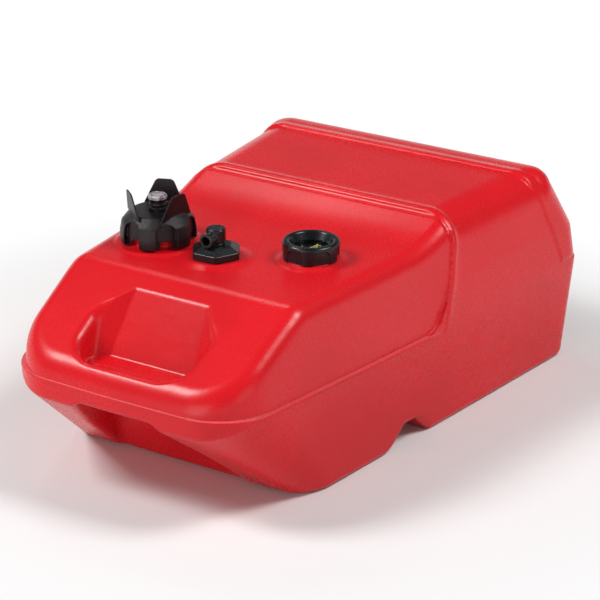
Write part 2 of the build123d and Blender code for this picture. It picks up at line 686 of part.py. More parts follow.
# ---------------------------------------------------------------- fuel pickup
with BuildPart() as pickup_gasket:
    drum(PICKUP, PICKUP_NECK_RADIUS - FIT, PICKUP_NECK_TOP, PICKUP_GASKET_TOP)
    drum(PICKUP, PICKUP_NECK_BORE, PICKUP_NECK_TOP, PICKUP_GASKET_TOP, mode=Mode.SUBTRACT)
finish(pickup_gasket, "pickup_gasket")

with BuildPart() as pickup_body:
    drum(PICKUP, PICKUP_NECK_RADIUS - FIT, PICKUP_GASKET_TOP, PICKUP_FLANGE_TOP)
    drum(PICKUP, STEM_RADIUS, -STEM_DROP, PICKUP_GASKET_TOP)
    drum(PICKUP, BARREL_RADIUS, PICKUP_FLANGE_TOP, BARREL_TOP)
    fillet(pickup_body.edges().sort_by(Axis.Z)[-1], BARREL_EDGE)
    port_axis = Plane(
        origin=PICKUP.origin + PICKUP.z_dir * PORT_HEIGHT - PICKUP.y_dir * PORT_REACH,
        x_dir=PICKUP.x_dir,
        z_dir=PICKUP.y_dir,
    )
    with BuildSketch(port_axis) as port:
        Circle(PORT_RADIUS)
    extrude(port.sketch, amount=PORT_REACH)
    with BuildSketch(port_axis) as port_hole:
        Circle(PORT_BORE)
    extrude(port_hole.sketch, amount=PORT_DEPTH, mode=Mode.SUBTRACT)
    with BuildSketch(port_axis) as gallery:
        Circle(SEAT_RADIUS)
    extrude(gallery.sketch, amount=PORT_REACH, mode=Mode.SUBTRACT)
    # valve chamber, its seat, the fuel way below it and the socket of the dip tube
    drum(PICKUP, CHAMBER_RADIUS, SEAT_HEIGHT, BARREL_TOP - PLUG_THICKNESS, mode=Mode.SUBTRACT)
    drum(PICKUP, PLUG_RADIUS, BARREL_TOP - PLUG_THICKNESS, BARREL_TOP, mode=Mode.SUBTRACT)
    drum(PICKUP, SEAT_RADIUS, -STEM_DROP, SEAT_HEIGHT, mode=Mode.SUBTRACT)
    drum(PICKUP, TUBE_RADIUS, -STEM_DROP, TUBE_SOCKET - STEM_DROP, mode=Mode.SUBTRACT)
finish(pickup_body, "pickup_body")

with BuildPart() as pickup_nut:
    with BuildSketch(PICKUP.offset(NUT_FOOT)) as flats:
        RegularPolygon(NUT_ACROSS_FLATS / 2, 6, major_radius=False, rotation=NUT_TURN)
    extrude(flats.sketch, amount=NUT_SIDE)
    drum(PICKUP, NUT_ACROSS_FLATS / math.sqrt(3), NUT_FOOT, NUT_FOOT + NUT_SKIRT)
    with BuildSketch(PICKUP.offset(NUT_FOOT + NUT_SIDE)) as crown_foot:
        RegularPolygon(NUT_ACROSS_FLATS / 2, 6, major_radius=False, rotation=NUT_TURN)
    with BuildSketch(PICKUP.offset(NUT_TOP)) as crown_top:
        RegularPolygon(NUT_CONE_RADIUS, 6, major_radius=False, rotation=NUT_TURN)
    loft([crown_foot.sketch.face(), crown_top.sketch.face()], ruled=True)
    drum(PICKUP, PICKUP_NECK_RADIUS + FIT, NUT_FOOT, PICKUP_FLANGE_TOP, mode=Mode.SUBTRACT)
    drum(PICKUP, BARREL_RADIUS + FIT, PICKUP_FLANGE_TOP, NUT_TOP, mode=Mode.SUBTRACT)
finish(pickup_nut, "pickup_nut")

with BuildPart() as pickup_plug:
    drum(PICKUP, PLUG_RADIUS, BARREL_TOP - PLUG_THICKNESS, BARREL_TOP)
    drum(PICKUP, CHAMBER_RADIUS, BARREL_TOP - PLUG_THICKNESS - PLUG_STEM, BARREL_TOP - PLUG_THICKNESS)
    with BuildSketch(PICKUP.offset(BARREL_TOP)) as slot:
        Rectangle(2 * PLUG_RADIUS, PLUG_SLOT, rotation=NUT_TURN)
    extrude(slot.sketch, amount=-PLUG_SLOT, mode=Mode.SUBTRACT)
finish(pickup_plug, "pickup_plug")

with BuildPart() as check_ball:
    with Locations(PICKUP.offset(BALL_CENTRE)):
        Sphere(BALL_RADIUS)
finish(check_ball, "check_ball")

with BuildPart() as check_spring:
    spring_low = BALL_CENTRE + BALL_RADIUS + SPRING_WIRE
    spring_high = BARREL_TOP - PLUG_THICKNESS - PLUG_STEM - SPRING_WIRE
    with BuildLine(PICKUP.offset(spring_low)) as coil:
        Helix((spring_high - spring_low) / SPRING_TURNS, spring_high - spring_low, SPRING_RADIUS)
    with BuildSketch(Plane(origin=coil.line @ 0, z_dir=coil.line % 0)) as wire:
        Circle(SPRING_WIRE)
    sweep(wire.sketch, path=coil.line, is_frenet=True)
finish(check_spring, "check_spring")

with BuildPart() as dip_tube:
    drum(PICKUP, TUBE_RADIUS, TUBE_END - DECK_TOP, TUBE_SOCKET - STEM_DROP)
    drum(PICKUP, TUBE_BORE, TUBE_END - DECK_TOP, TUBE_SOCKET - STEM_DROP, mode=Mode.SUBTRACT)
finish(dip_tube, "dip_tube")

with BuildPart() as filter_screen:
    drum(PICKUP, SCREEN_RADIUS, SCREEN_FOOT, SCREEN_FOOT + SCREEN_LENGTH)
    drum(PICKUP, TUBE_RADIUS, SCREEN_FOOT + SCREEN_FLOOR, SCREEN_FOOT + SCREEN_LENGTH, mode=Mode.SUBTRACT)
    with BuildSketch(PICKUP.offset(SCREEN_FOOT + SCREEN_RIM)) as windows:
        with PolarLocations(SCREEN_RADIUS, SCREEN_WINDOWS):
            Rectangle(SCREEN_RADIUS, SCREEN_WINDOW)
    extrude(windows.sketch, amount=SCREEN_LENGTH - 2 * SCREEN_RIM, mode=Mode.SUBTRACT)
finish(filter_screen, "filter_screen")

# ---------------------------------------------------------------- float gauge
with BuildPart() as gauge_gasket:
    drum(GAUGE, GAUGE_NECK_RADIUS - FIT, GAUGE_NECK_TOP, GAUGE_GASKET_TOP)
    drum(GAUGE, GAUGE_NECK_BORE, GAUGE_NECK_TOP, GAUGE_GASKET_TOP, mode=Mode.SUBTRACT)
finish(gauge_gasket, "gauge_gasket")

with BuildPart() as gauge_bowl:
    drum(GAUGE, GAUGE_NECK_RADIUS - FIT, GAUGE_GASKET_TOP, BOWL_TOP)
    drum(GAUGE, BOWL_RADIUS, BOWL_BOTTOM, GAUGE_GASKET_TOP)
    drum(GAUGE, LENS_RADIUS + LENS_FIT, BOWL_TOP - LENS_THICKNESS, BOWL_TOP, mode=Mode.SUBTRACT)
    drum(GAUGE, BOWL_INNER, BOWL_FLOOR, BOWL_TOP - LENS_THICKNESS, mode=Mode.SUBTRACT)
    drum(GAUGE, JOURNAL_RADIUS + RUNNING, BOWL_BOTTOM, BOWL_FLOOR, mode=Mode.SUBTRACT)
    with BuildSketch(GAUGE.offset(BOWL_BOTTOM)) as rod_sockets:
        with Locations((-ROD_OFFSET, 0), (ROD_OFFSET, 0)):
            Circle(ROD_RADIUS)
    extrude(rod_sockets.sketch, amount=ROD_SOCKET, mode=Mode.SUBTRACT)
finish(gauge_bowl, "gauge_bowl")

with BuildPart() as gauge_lens:
    drum(GAUGE, LENS_RADIUS, BOWL_TOP - LENS_THICKNESS, BOWL_TOP)
finish(gauge_lens, "gauge_lens")

with BuildPart() as gauge_ring:
    drum(GAUGE, RING_RADIUS, RING_FOOT, RING_TOP)
    fillet(gauge_ring.edges().sort_by(Axis.Z)[-1], RING_ROUND)
    recess_depth = RING_RADIUS - RING_RECESS_DEPTH
    for recess in PolarLocations(recess_depth, RING_RECESSES, start_angle=RING_TURN).local_locations:
        side = Plane(GAUGE.location * recess)
        with BuildSketch(Plane(origin=side.origin, x_dir=side.y_dir, z_dir=side.x_dir)) as scallop:
            with Locations((0, RING_FOOT + RING_RECESS_HEIGHT / 2)):
                Rectangle(RING_RECESS_WIDTH, RING_RECESS_HEIGHT)
            fillet(scallop.vertices().group_by(Axis.Y)[-1], RING_RECESS_CORNER)
        extrude(scallop.sketch, amount=RING_RADIUS, mode=Mode.SUBTRACT)
    drum(GAUGE, GAUGE_NECK_RADIUS + FIT, RING_FOOT, BOWL_TOP, mode=Mode.SUBTRACT)
    mouth_corners = [(0, BOWL_TOP), (LENS_RADIUS - FIT, BOWL_TOP), (RING_MOUTH, RING_TOP), (0, RING_TOP)]
    turn(GAUGE, mouth_corners, mode=Mode.SUBTRACT)
finish(gauge_ring, "gauge_ring")

with BuildPart() as gauge_pointer:
    drum(GAUGE, POINTER_HUB, POINTER_HEIGHT, POINTER_HEIGHT + POINTER_THICKNESS)
    with BuildSketch(GAUGE.offset(POINTER_HEIGHT)) as arrow:
        with BuildLine():
            Polyline(
                (-POINTER_WIDTH / 2, POINTER_HUB / 2),
                (POINTER_WIDTH / 2, POINTER_HUB / 2),
                (POINTER_TIP / 2, POINTER_LENGTH),
                (-POINTER_TIP / 2, POINTER_LENGTH),
                close=True,
            )
        make_face()
    extrude(arrow.sketch, amount=POINTER_THICKNESS)
    drum(GAUGE, JOURNAL_RADIUS, POINTER_HEIGHT, POINTER_HEIGHT + POINTER_THICKNESS, mode=Mode.SUBTRACT)
finish(gauge_pointer, "gauge_pointer")

for side_name, offset_x in (("left", -ROD_OFFSET), ("right", ROD_OFFSET)):
    with BuildPart() as guide_rod:
        rod_base = Plane(origin=GAUGE.origin + GAUGE.x_dir * offset_x)
        drum(rod_base, ROD_RADIUS, BRACKET_HEIGHT - DECK_TOP, BOWL_BOTTOM + ROD_SOCKET)
    finish(guide_rod, f"guide_rod_{side_name}")

with BuildPart() as lower_bracket:
    drum(GAUGE, BRACKET_RADIUS, BRACKET_HEIGHT - DECK_TOP, BRACKET_TOP)
    drum(GAUGE, JOURNAL_RADIUS + RUNNING, BRACKET_HEIGHT - DECK_TOP, BRACKET_TOP, mode=Mode.SUBTRACT)
    with BuildSketch(GAUGE.offset(BRACKET_TOP)) as rod_holes:
        with Locations((-ROD_OFFSET, 0), (ROD_OFFSET, 0)):
            Circle(ROD_RADIUS)
    extrude(rod_holes.sketch, amount=-BRACKET_THICKNESS, mode=Mode.SUBTRACT)
finish(lower_bracket, "lower_bracket")

with BuildPart() as float_drum:
    drum(GAUGE, FLOAT_RADIUS, FLOAT_FOOT, FLOAT_TOP)
    fillet(float_drum.edges().filter_by(GeomType.CIRCLE), FLOAT_EDGE)
    drum(GAUGE, FLOAT_BORE, FLOAT_FOOT, FLOAT_TOP, mode=Mode.SUBTRACT)
    drum(GAUGE, PLATE_RADIUS, FLOAT_TOP - PLATE_THICKNESS, FLOAT_TOP, mode=Mode.SUBTRACT)
    with BuildSketch(GAUGE.offset(FLOAT_FOOT)) as rod_ways:
        with Locations((-ROD_OFFSET, 0), (ROD_OFFSET, 0)):
            Circle(ROD_RADIUS + FIT)
    extrude(rod_ways.sketch, amount=FLOAT_HEIGHT, mode=Mode.SUBTRACT)
finish(float_drum, "float_drum")

with BuildPart() as float_plate:
    drum(GAUGE, PLATE_RADIUS, FLOAT_TOP - PLATE_THICKNESS, FLOAT_TOP)
    with BuildSketch(GAUGE.offset(FLOAT_TOP)) as slit:
        Rectangle(STRIP_WIDTH + 2 * SLOT_CLEARANCE, STRIP_THICKNESS + 2 * SLOT_CLEARANCE)
    extrude(slit.sketch, amount=-PLATE_THICKNESS, mode=Mode.SUBTRACT)
finish(float_plate, "float_plate")


def strip_section(height):
    """Cross-section of the twisted strip at a height; it lines up with the slot at the float's rest."""
    angle = STRIP_TWIST * (height - FLOAT_TOP + PLATE_THICKNESS / 2) / FLOAT_TRAVEL
    with BuildSketch(GAUGE.offset(height)) as section:
        Rectangle(STRIP_WIDTH, STRIP_THICKNESS, rotation=angle)
    return section.sketch.face()


with BuildPart() as twist_strip:
    strip_length = STRIP_TOP - STRIP_FOOT
    steps = math.ceil(STRIP_TWIST * strip_length / FLOAT_TRAVEL / STRIP_STEP)
    loft([strip_section(STRIP_FOOT + strip_length * i / steps) for i in range(steps + 1)], ruled=True)
    drum(GAUGE, JOURNAL_RADIUS, STRIP_TOP, POINTER_HEIGHT + POINTER_THICKNESS)
    drum(GAUGE, JOURNAL_RADIUS, BRACKET_HEIGHT - DECK_TOP, STRIP_FOOT)
finish(twist_strip, "twist_strip")
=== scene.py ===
"""Looks of a portable outboard fuel tank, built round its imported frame.

Sizes are written in millimetres in the part's own frame: X across the tank, +Z up, the handle end at -Y. A
station is a distance back from the nose, and heights of the fittings count from the deck. Meshes are turned into
metres when they are handed to Blender.
"""

import logging
import math
from collections.abc import Callable, Sequence
from dataclasses import dataclass
from enum import Enum

import bpy
import numpy as np
from mathutils import Matrix, Vector


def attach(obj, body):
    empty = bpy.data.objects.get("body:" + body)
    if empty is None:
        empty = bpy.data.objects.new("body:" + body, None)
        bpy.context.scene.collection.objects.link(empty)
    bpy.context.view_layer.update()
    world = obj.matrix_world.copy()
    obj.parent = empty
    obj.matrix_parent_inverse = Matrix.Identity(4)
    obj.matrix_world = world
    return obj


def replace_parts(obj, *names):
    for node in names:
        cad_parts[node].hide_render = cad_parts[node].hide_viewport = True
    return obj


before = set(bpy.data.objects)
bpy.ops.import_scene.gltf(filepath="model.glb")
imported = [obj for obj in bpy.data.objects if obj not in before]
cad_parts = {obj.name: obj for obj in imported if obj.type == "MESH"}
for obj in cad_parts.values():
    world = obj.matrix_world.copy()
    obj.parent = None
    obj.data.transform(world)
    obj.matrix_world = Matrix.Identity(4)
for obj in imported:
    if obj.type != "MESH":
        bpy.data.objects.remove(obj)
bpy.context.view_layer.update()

log = logging.getLogger("fuel_tank")
Array = np.ndarray
Colour = tuple[float, float, float]
Point = tuple[float, float, float]
Spot = tuple[float, float]
Line = tuple[Spot, Spot]
Lines = tuple[Array, ...]
Triple = tuple[Array, Array, Array]
Field = Callable[[Array, Array, Array], Array]
Placing = Callable[[Array, Array, Array], Triple]

MILLIMETRE = 0.001
FULL_TURN = 2 * math.pi
ON_AXIS = 1e-6
LENGTH = 563.0
DECK = 187.0
NOSE_Y = -LENGTH / 2
CAP_SPOT = (-78.0, 181.0)
PICKUP_SPOT = (-6.8, 175.0)
GAUGE_SPOT = (70.0, 220.0)


# ------------------------------------------------------------------------------------------ shapes of distance
def soft_both(a: Array, b: Array, radius: float | Array, lean: float | Array = 0.0) -> Array:
    """Keep what two fields share, with a round edge where they meet.

    Away from the edge it is the larger of the two. Near it, it is the distance to a circle of the given radius that
    touches both faces: with A and B the fields plus the radius and c the cosine between the faces' outward
    directions, the root of (A squared + B squared - 2ABc) over (1 - c squared), less the radius.

    Args:
        a: First field, negative inside.
        b: Second field, negative inside.
        radius: Radius of the round edge.
        lean: Cosine of the angle between the two faces' outward directions.

    Returns:
        The shared field.
    """
    grown_a, grown_b = a + radius, b + radius
    in_round = (grown_a > grown_b * lean) & (grown_b > grown_a * lean) & (grown_a + grown_b > 0)
    squared = (grown_a**2 + grown_b**2 - 2 * grown_a * grown_b * lean) / (1 - np.square(lean))
    return np.where(in_round, np.sqrt(np.maximum(squared, 0.0)) - radius, np.maximum(a, b))


def soft_either(a: Array, b: Array, radius: float | Array, lean: float | Array = 0.0) -> Array:
    """Join two fields, with a round hollow where they meet: soft_both with every sign turned."""
    return -soft_both(-a, -b, radius, lean)


def past_line(across: Array, up: Array, start: Spot, end: Spot) -> Array:
    """Distance to the right of the line from start to end, in a plane of two coordinates.

    Args:
        across: First coordinate of each point.
        up: Second coordinate of each point.
        start: A point of the line.
        end: Another point of the line.

    Returns:
        Positive on the right of the walk from start to end, negative on its left.
    """
    run, rise = end[0] - start[0], end[1] - start[1]
    return ((across - start[0]) * rise - (up - start[1]) * run) / math.hypot(run, rise)


def grown(value: Array, start: float, run: float) -> Array:
    """Rise evenly from 0 at a start to 1 one run further on; a negative run counts backwards."""
    return np.clip((value - start) / run, 0.0, 1.0)


def ridge(offset: Array, middle: float, spread: float) -> Array:
    """Bell-shaped rise to 1 at a middle: e to less the square of the distance in spreads."""
    return np.exp(-(((offset - middle) / spread) ** 2))


# ------------------------------------------------------------------------------------------ meshes
def add_mesh(name: str, points: Array, faces: Array, normals: Array | None, finish: "Finish") -> bpy.types.Object:
    """Hand a surface to Blender as one object at the origin.

    Args:
        name: Name of the piece.
        points: Corners in millimetres, one row each.
        faces: Corner numbers, one row per face; a row's last number is -1 in a triangle.
        normals: Outward direction at each corner, or None for those that the faces give.
        finish: What the surface is made of.

    Returns:
        The new object.
    """
    corners = faces.ravel()
    real = corners >= 0
    counts = (faces >= 0).sum(axis=1).astype(np.int32)
    mesh = bpy.data.meshes.new(name)
    mesh.vertices.add(len(points))
    mesh.vertices.foreach_set("co", (points * MILLIMETRE).astype(np.float32).ravel())
    mesh.loops.add(int(counts.sum()))
    mesh.loops.foreach_set("vertex_index", corners[real].astype(np.int32))
    mesh.polygons.add(len(faces))
    mesh.polygons.foreach_set("loop_start", (np.cumsum(counts) - counts).astype(np.int32))
    mesh.polygons.foreach_set("use_smooth", np.ones(len(faces), bool))
    mesh.update(calc_edges=True)
    mesh.validate()
    if normals is not None:
        mesh.normals_split_custom_set_from_vertices(normals.astype(np.float32))
    mesh.materials.append(finish.material())
    piece = bpy.data.objects.new(name, mesh)
    bpy.context.scene.collection.objects.link(piece)
    log.info("%s: %d faces", name, len(faces))
    return piece


@dataclass
class Arc:
    """A corner of a turned profile: its place and the radius of its round."""

    radius: float
    height: float
    round: float = 0.4


def rounded_profile(corners: Sequence[Arc], steps: int = 6) -> tuple[Array, Array]:
    """Closed profile whose corners are arcs that touch both of their sides.

    The arc at a corner is centred on the line that halves its angle, and its points run evenly in angle from one
    side's normal to the other's.

    Args:
        corners: Corners in order, with the solid on the left.
        steps: Spaces along each arc.

    Returns:
        Points and outward directions, both as (radius, height) rows.
    """
    spots = np.array([(c.radius, c.height) for c in corners])
    before = spots - np.roll(spots, 1, axis=0)
    before /= np.linalg.norm(before, axis=1)[:, None]
    after = np.roll(before, -1, axis=0)
    out_before = np.stack([before[:, 1], -before[:, 0]], axis=1)
    out_after = np.stack([after[:, 1], -after[:, 0]], axis=1)
    turn = before[:, 0] * after[:, 1] - before[:, 1] * after[:, 0]
    angle = np.arctan2(turn, (before * after).sum(axis=1))
    radii = np.array([c.round for c in corners]) * np.sign(angle)
    centres = spots - radii[:, None] * (out_before + out_after) / (1 + (out_before * out_after).sum(axis=1))[:, None]
    start = np.arctan2(out_before[:, 1], out_before[:, 0])
    angles = start[:, None] + angle[:, None] * np.linspace(0, 1, steps + 1)[None, :]
    out = np.stack([np.cos(angles), np.sin(angles)], axis=2)
    points = centres[:, None, :] + radii[:, None, None] * out
    return points.reshape(-1, 2), out.reshape(-1, 2)


def turned(
    name: str, centre: Sequence[float], corners: Sequence[Arc], finish: "Finish", around: int
) -> bpy.types.Object:
    """A ring or a disc turned about an upright axis.

    Point (i, j) lies at angle j round the axis, at the radius and height of profile point i. A profile whose first
    and last corners lie on the axis closes there to a single point.

    Args:
        name: Name of the piece.
        centre: X, Y and Z that the profile's radii and heights count from.
        corners: The profile's corners, with the solid on the left.
        finish: What the piece is made of.
        around: Number of spaces round the axis.

    Returns:
        The new object.
    """
    profile, outward = rounded_profile(corners)
    solid = corners[0].radius == 0 and corners[-1].radius == 0
    if solid:
        beside_axis = np.abs(profile[:, 0]) >= ON_AXIS
        profile, outward = profile[beside_axis], outward[beside_axis]
    rows = len(profile)
    angles = np.linspace(0, FULL_TURN, around, endpoint=False)
    ring = np.stack([np.cos(angles), np.sin(angles)], axis=1)

    def swept(pairs: Array) -> Array:
        """Each (radius, height) pair carried round the axis, as one row of X, Y and Z for each angle."""
        heights = np.broadcast_to(pairs[:, None, 1:2], (rows, around, 1))
        return np.concatenate([pairs[:, None, 0:1] * ring[None], heights], axis=2).reshape(-1, 3)

    points, normals = swept(profile), swept(outward)
    index = np.arange(rows * around).reshape(rows, around)
    last = rows - 1 if solid else rows
    low = index[np.arange(last)]
    high = index[(np.arange(last) + 1) % rows]
    faces = np.stack([low, np.roll(low, -1, axis=1), np.roll(high, -1, axis=1), high], axis=2).reshape(-1, 4)
    if solid:
        ends = [[0, 0, corners[0].height], [0, 0, corners[-1].height]]
        points = np.vstack([points, ends])
        normals = np.vstack([normals, [[0, 0, -1], [0, 0, 1]]])
        if corners[0].height > corners[-1].height:
            normals[-2:, 2] *= -1
        first, final = index[0], index[-1]
        none = np.full(around, -1)
        foot = np.stack([np.full(around, rows * around), np.roll(first, -1), first, none], axis=1)
        top = np.stack([np.full(around, rows * around + 1), final, np.roll(final, -1), none], axis=1)
        faces = np.vstack([faces, foot, top])
    return add_mesh(name, points + np.asarray(centre, float), faces, normals, finish)


@dataclass
class CellGrid:
    """A block of cells, bent into place, in which the zero surface of a field is found.

    Attributes:
        lines: Grid lines along each of the three directions.
        place: Turns the three line values into X, Y and Z.
        wraps: True where the first direction closes on itself, as an angle does.
        STEPS: Number of times that each point walks towards the surface.
        LONGEST_STEP: The most that it moves at once, in millimetres.
        NEAR: Distance from the surface, in coarse spacings, within which the field is worked out at every point.
        EDGES: The twelve edges of a cell, as pairs of corner numbers.
    """

    lines: Lines
    place: Placing
    wraps: bool = False

    STEPS = 4
    LONGEST_STEP = 2.0
    NEAR = 2.2
    EDGES = ((0, 1), (2, 3), (4, 5), (6, 7), (0, 2), (1, 3), (4, 6), (5, 7), (0, 4), (1, 5), (2, 6), (3, 7))

    def surface(self, shape: Field, probe: float) -> Triple:
        """Find the surface where the field is zero.

        Every cell whose corners lie on both sides gets one point, at the mean of the places where its edges cross
        the surface. The four cells round a crossed edge make a face. Each point then walks down the field's slope
        onto the surface, and the slope there is its outward direction.

        Args:
            shape: The field, negative inside.
            probe: Step in millimetres over which slopes are measured.

        Returns:
            Points, four-cornered faces and outward directions.
        """
        spots = np.stack(self.place(*np.meshgrid(*self.lines, indexing="ij")), axis=3)
        values = self._values(shape, spots)
        inside = values < 0
        counts = np.array(values.shape) - 1
        offsets = [(i, j, k) for k in (0, 1) for j in (0, 1) for i in (0, 1)]

        def corner_of(block: Array, offset: tuple[int, int, int]) -> Array:
            """The block's values at one corner of every cell."""
            i, j, k = offset
            return block[i : i + counts[0], j : j + counts[1], k : k + counts[2]]

        total = sum(corner_of(inside, o).astype(np.int8) for o in offsets)
        cells = np.argwhere((total > 0) & (total < 8))
        number = np.full(tuple(counts), -1, np.int64)
        number[tuple(cells.T)] = np.arange(len(cells))
        corner_spots = np.stack([spots[tuple((cells + o).T)] for o in offsets], axis=1)
        corner_values = np.stack([values[tuple((cells + o).T)] for o in offsets], axis=1)
        gathered, hits = np.zeros((len(cells), 3)), np.zeros((len(cells), 1))
        for a, b in self.EDGES:
            va, vb = corner_values[:, a], corner_values[:, b]
            crossed = ((va < 0) != (vb < 0))[:, None]
            share = (va / np.where(crossed[:, 0], va - vb, 1.0))[:, None]
            gathered += np.where(crossed, corner_spots[:, a] + share * (corner_spots[:, b] - corner_spots[:, a]), 0)
            hits += crossed
        points = gathered / np.maximum(hits, 1)
        faces = np.vstack([self._faces(inside, number, axis) for axis in range(3)])
        for _ in range(self.STEPS):
            slope, here = self._slope(shape, points, probe)
            steep = np.maximum((slope**2).sum(axis=1), 1e-6)
            move = -slope * (here / steep)[:, None]
            length = np.linalg.norm(move, axis=1)[:, None]
            points = points + move * np.minimum(1.0, self.LONGEST_STEP / np.maximum(length, 1e-9))
        slope, _ = self._slope(shape, points, probe)
        return points, faces, slope / np.maximum(np.linalg.norm(slope, axis=1)[:, None], 1e-9)

    def _values(self, shape: Field, spots: Array) -> Array:
        """The field at every grid point, worked out in full only near the surface.

        Every other point along each direction is worked out first. A point far from the surface, counted in spacings
        of that coarse grid, keeps the value of its coarse neighbour, whose sign it shares.

        Args:
            shape: The field, negative inside.
            spots: The grid's points.

        Returns:
            The values.
        """
        rough_spots = spots[::2, ::2, ::2]
        rough = shape(rough_spots[..., 0], rough_spots[..., 1], rough_spots[..., 2])
        values = rough.repeat(2, 0).repeat(2, 1).repeat(2, 2)[: spots.shape[0], : spots.shape[1], : spots.shape[2]]
        spacing = max(float(np.abs(np.diff(rough_spots, axis=d)).max()) for d in range(3))
        near = np.abs(values) < self.NEAR * spacing
        values[near] = shape(*spots[near].T)
        return values

    def _faces(self, inside: Array, number: Array, axis: int) -> Array:
        """Faces round the crossed edges that run along one direction.

        Args:
            inside: Side of each grid point.
            number: Point number of each cell, or -1.
            axis: The edges' direction.

        Returns:
            Four point numbers per face.
        """
        low = [slice(None)] * 3
        high = [slice(None)] * 3
        low[axis], high[axis] = slice(None, -1), slice(1, None)
        first, second = inside[tuple(low)], inside[tuple(high)]
        edges = np.argwhere(first != second)
        across = [d for d in range(3) if d != axis]
        counts = np.array(number.shape)
        keep = np.ones(len(edges), bool)
        for d in across:
            keep &= (edges[:, d] < counts[d]) & ((edges[:, d] >= 1) | (d == 0 and self.wraps))
        edges = edges[keep]
        rising = first[tuple(edges.T)]
        around = []
        for da, db in ((-1, -1), (0, -1), (0, 0), (-1, 0)):
            cell = edges.copy()
            cell[:, across[0]] += da
            cell[:, across[1]] += db
            around.append(number[tuple((cell % counts).T)])
        faces = np.stack(around, axis=1)
        flip = rising if axis != 1 else ~rising
        faces[~flip] = faces[~flip][:, ::-1]
        return faces

    @staticmethod
    def _slope(shape: Field, points: Array, probe: float) -> tuple[Array, Array]:
        """Slope of the field by central differences, and its value.

        Args:
            shape: The field.
            points: Where it is worked out, one row each.
            probe: Step to either side.

        Returns:
            One slope and one value per point.
        """
        steps = np.eye(3)[:, :, None] * probe
        rises = [shape(*(points.T + step)) - shape(*(points.T - step)) for step in steps]
        return np.stack(rises, axis=1) / (2 * probe), shape(*points.T)


def lines_between(
    low: float, high: float, step: float, fine: Sequence[tuple[float, float, float]] = ()
) -> Array:
    """Grid lines with a plain spacing and closer ones in some stretches.

    The spacing wanted at each place is added up along the way, and lines are set where the sum of lines per
    millimetre reaches whole numbers.

    Args:
        low: First line.
        high: Last line.
        step: Plain spacing.
        fine: Stretches with a closer spacing, as (start, end, spacing).

    Returns:
        The lines in order.
    """
    dense = np.linspace(low, high, 8001)
    rate = np.full(dense.shape, 1.0 / step)
    for start, end, spacing in fine:
        rate = np.where((dense >= start) & (dense <= end), np.maximum(rate, 1.0 / spacing), rate)
    total = np.concatenate([[0.0], np.cumsum((rate[1:] + rate[:-1]) / 2 * np.diff(dense))])
    count = int(round(total[-1]))
    return np.interp(np.linspace(0, total[-1], count + 1), total, dense)


def upright(centre: Sequence[float]) -> Placing:
    """Placing of an angle, radius and height about a fitting's axis; the angle runs clockwise, seen from above."""

    def place(angle: Array, radius: Array, height: Array) -> Triple:
        """X is the radius times the angle's cosine, Y less its sine, both from the axis."""
        return centre[0] + radius * np.cos(angle), centre[1] - radius * np.sin(angle), centre[2] + height

    return place


def straight(centre: Sequence[float]) -> Placing:
    """Placing of plain offsets from a point."""

    def place(x: Array, y: Array, z: Array) -> Triple:
        """Each offset is added to the point's own coordinate."""
        return centre[0] + x, centre[1] + y, centre[2] + z

    return place


# ------------------------------------------------------------------------------------------ shader wiring
def colour(red: int, green: int, blue: int) -> Colour:
    """A colour as a screen shows it, turned into the light it stands for.

    Args:
        red: Share of red, from 0 to 255.
        green: Share of green.
        blue: Share of blue.

    Returns:
        The three shares of light, from 0 to 1.
    """
    parts = np.array([red, green, blue]) / 255
    linear = np.where(parts <= 0.04045, parts / 12.92, ((parts + 0.055) / 1.055) ** 2.4)
    return float(linear[0]), float(linear[1]), float(linear[2])


@dataclass
class Wire:
    """A shader socket on which sums are written as plain expressions."""

    sheet: "ShaderSheet"
    socket: bpy.types.NodeSocket

    def _sum(self, operation: str, *values: "Wire | float") -> "Wire":
        """Add one Math node."""
        return self.sheet.node("ShaderNodeMath", {"operation": operation}, dict(enumerate(values)))

    def __add__(self, other: "Wire | float") -> "Wire":
        """This plus another."""
        return self._sum("ADD", self, other)

    __radd__ = __add__

    def __sub__(self, other: "Wire | float") -> "Wire":
        """This less another."""
        return self._sum("SUBTRACT", self, other)

    def __rsub__(self, other: "Wire | float") -> "Wire":
        """Another less this."""
        return self._sum("SUBTRACT", other, self)

    def __mul__(self, other: "Wire | float") -> "Wire":
        """This times another."""
        return self._sum("MULTIPLY", self, other)

    __rmul__ = __mul__

    def __abs__(self) -> "Wire":
        """Size without its sign."""
        return self._sum("ABSOLUTE", self)

    def eased(self, low: float, high: float, start: float = 0.0, end: float = 1.0) -> "Wire":
        """Go smoothly from a start to an end while this goes from a low value to a high one.

        Args:
            low: Value at which the start is left.
            high: Value at which the end is reached.
            start: Result at and below the low value.
            end: Result at and above the high value.

        Returns:
            The result.
        """
        return self.sheet.node(
            "ShaderNodeMapRange",
            {"interpolation_type": "SMOOTHSTEP"},
            {"Value": self, "From Min": low, "From Max": high, "To Min": start, "To Max": end},
        )

    def output(self, name: str | int) -> "Wire":
        """Another output of the same node."""
        return Wire(self.sheet, self.socket.node.outputs[name])


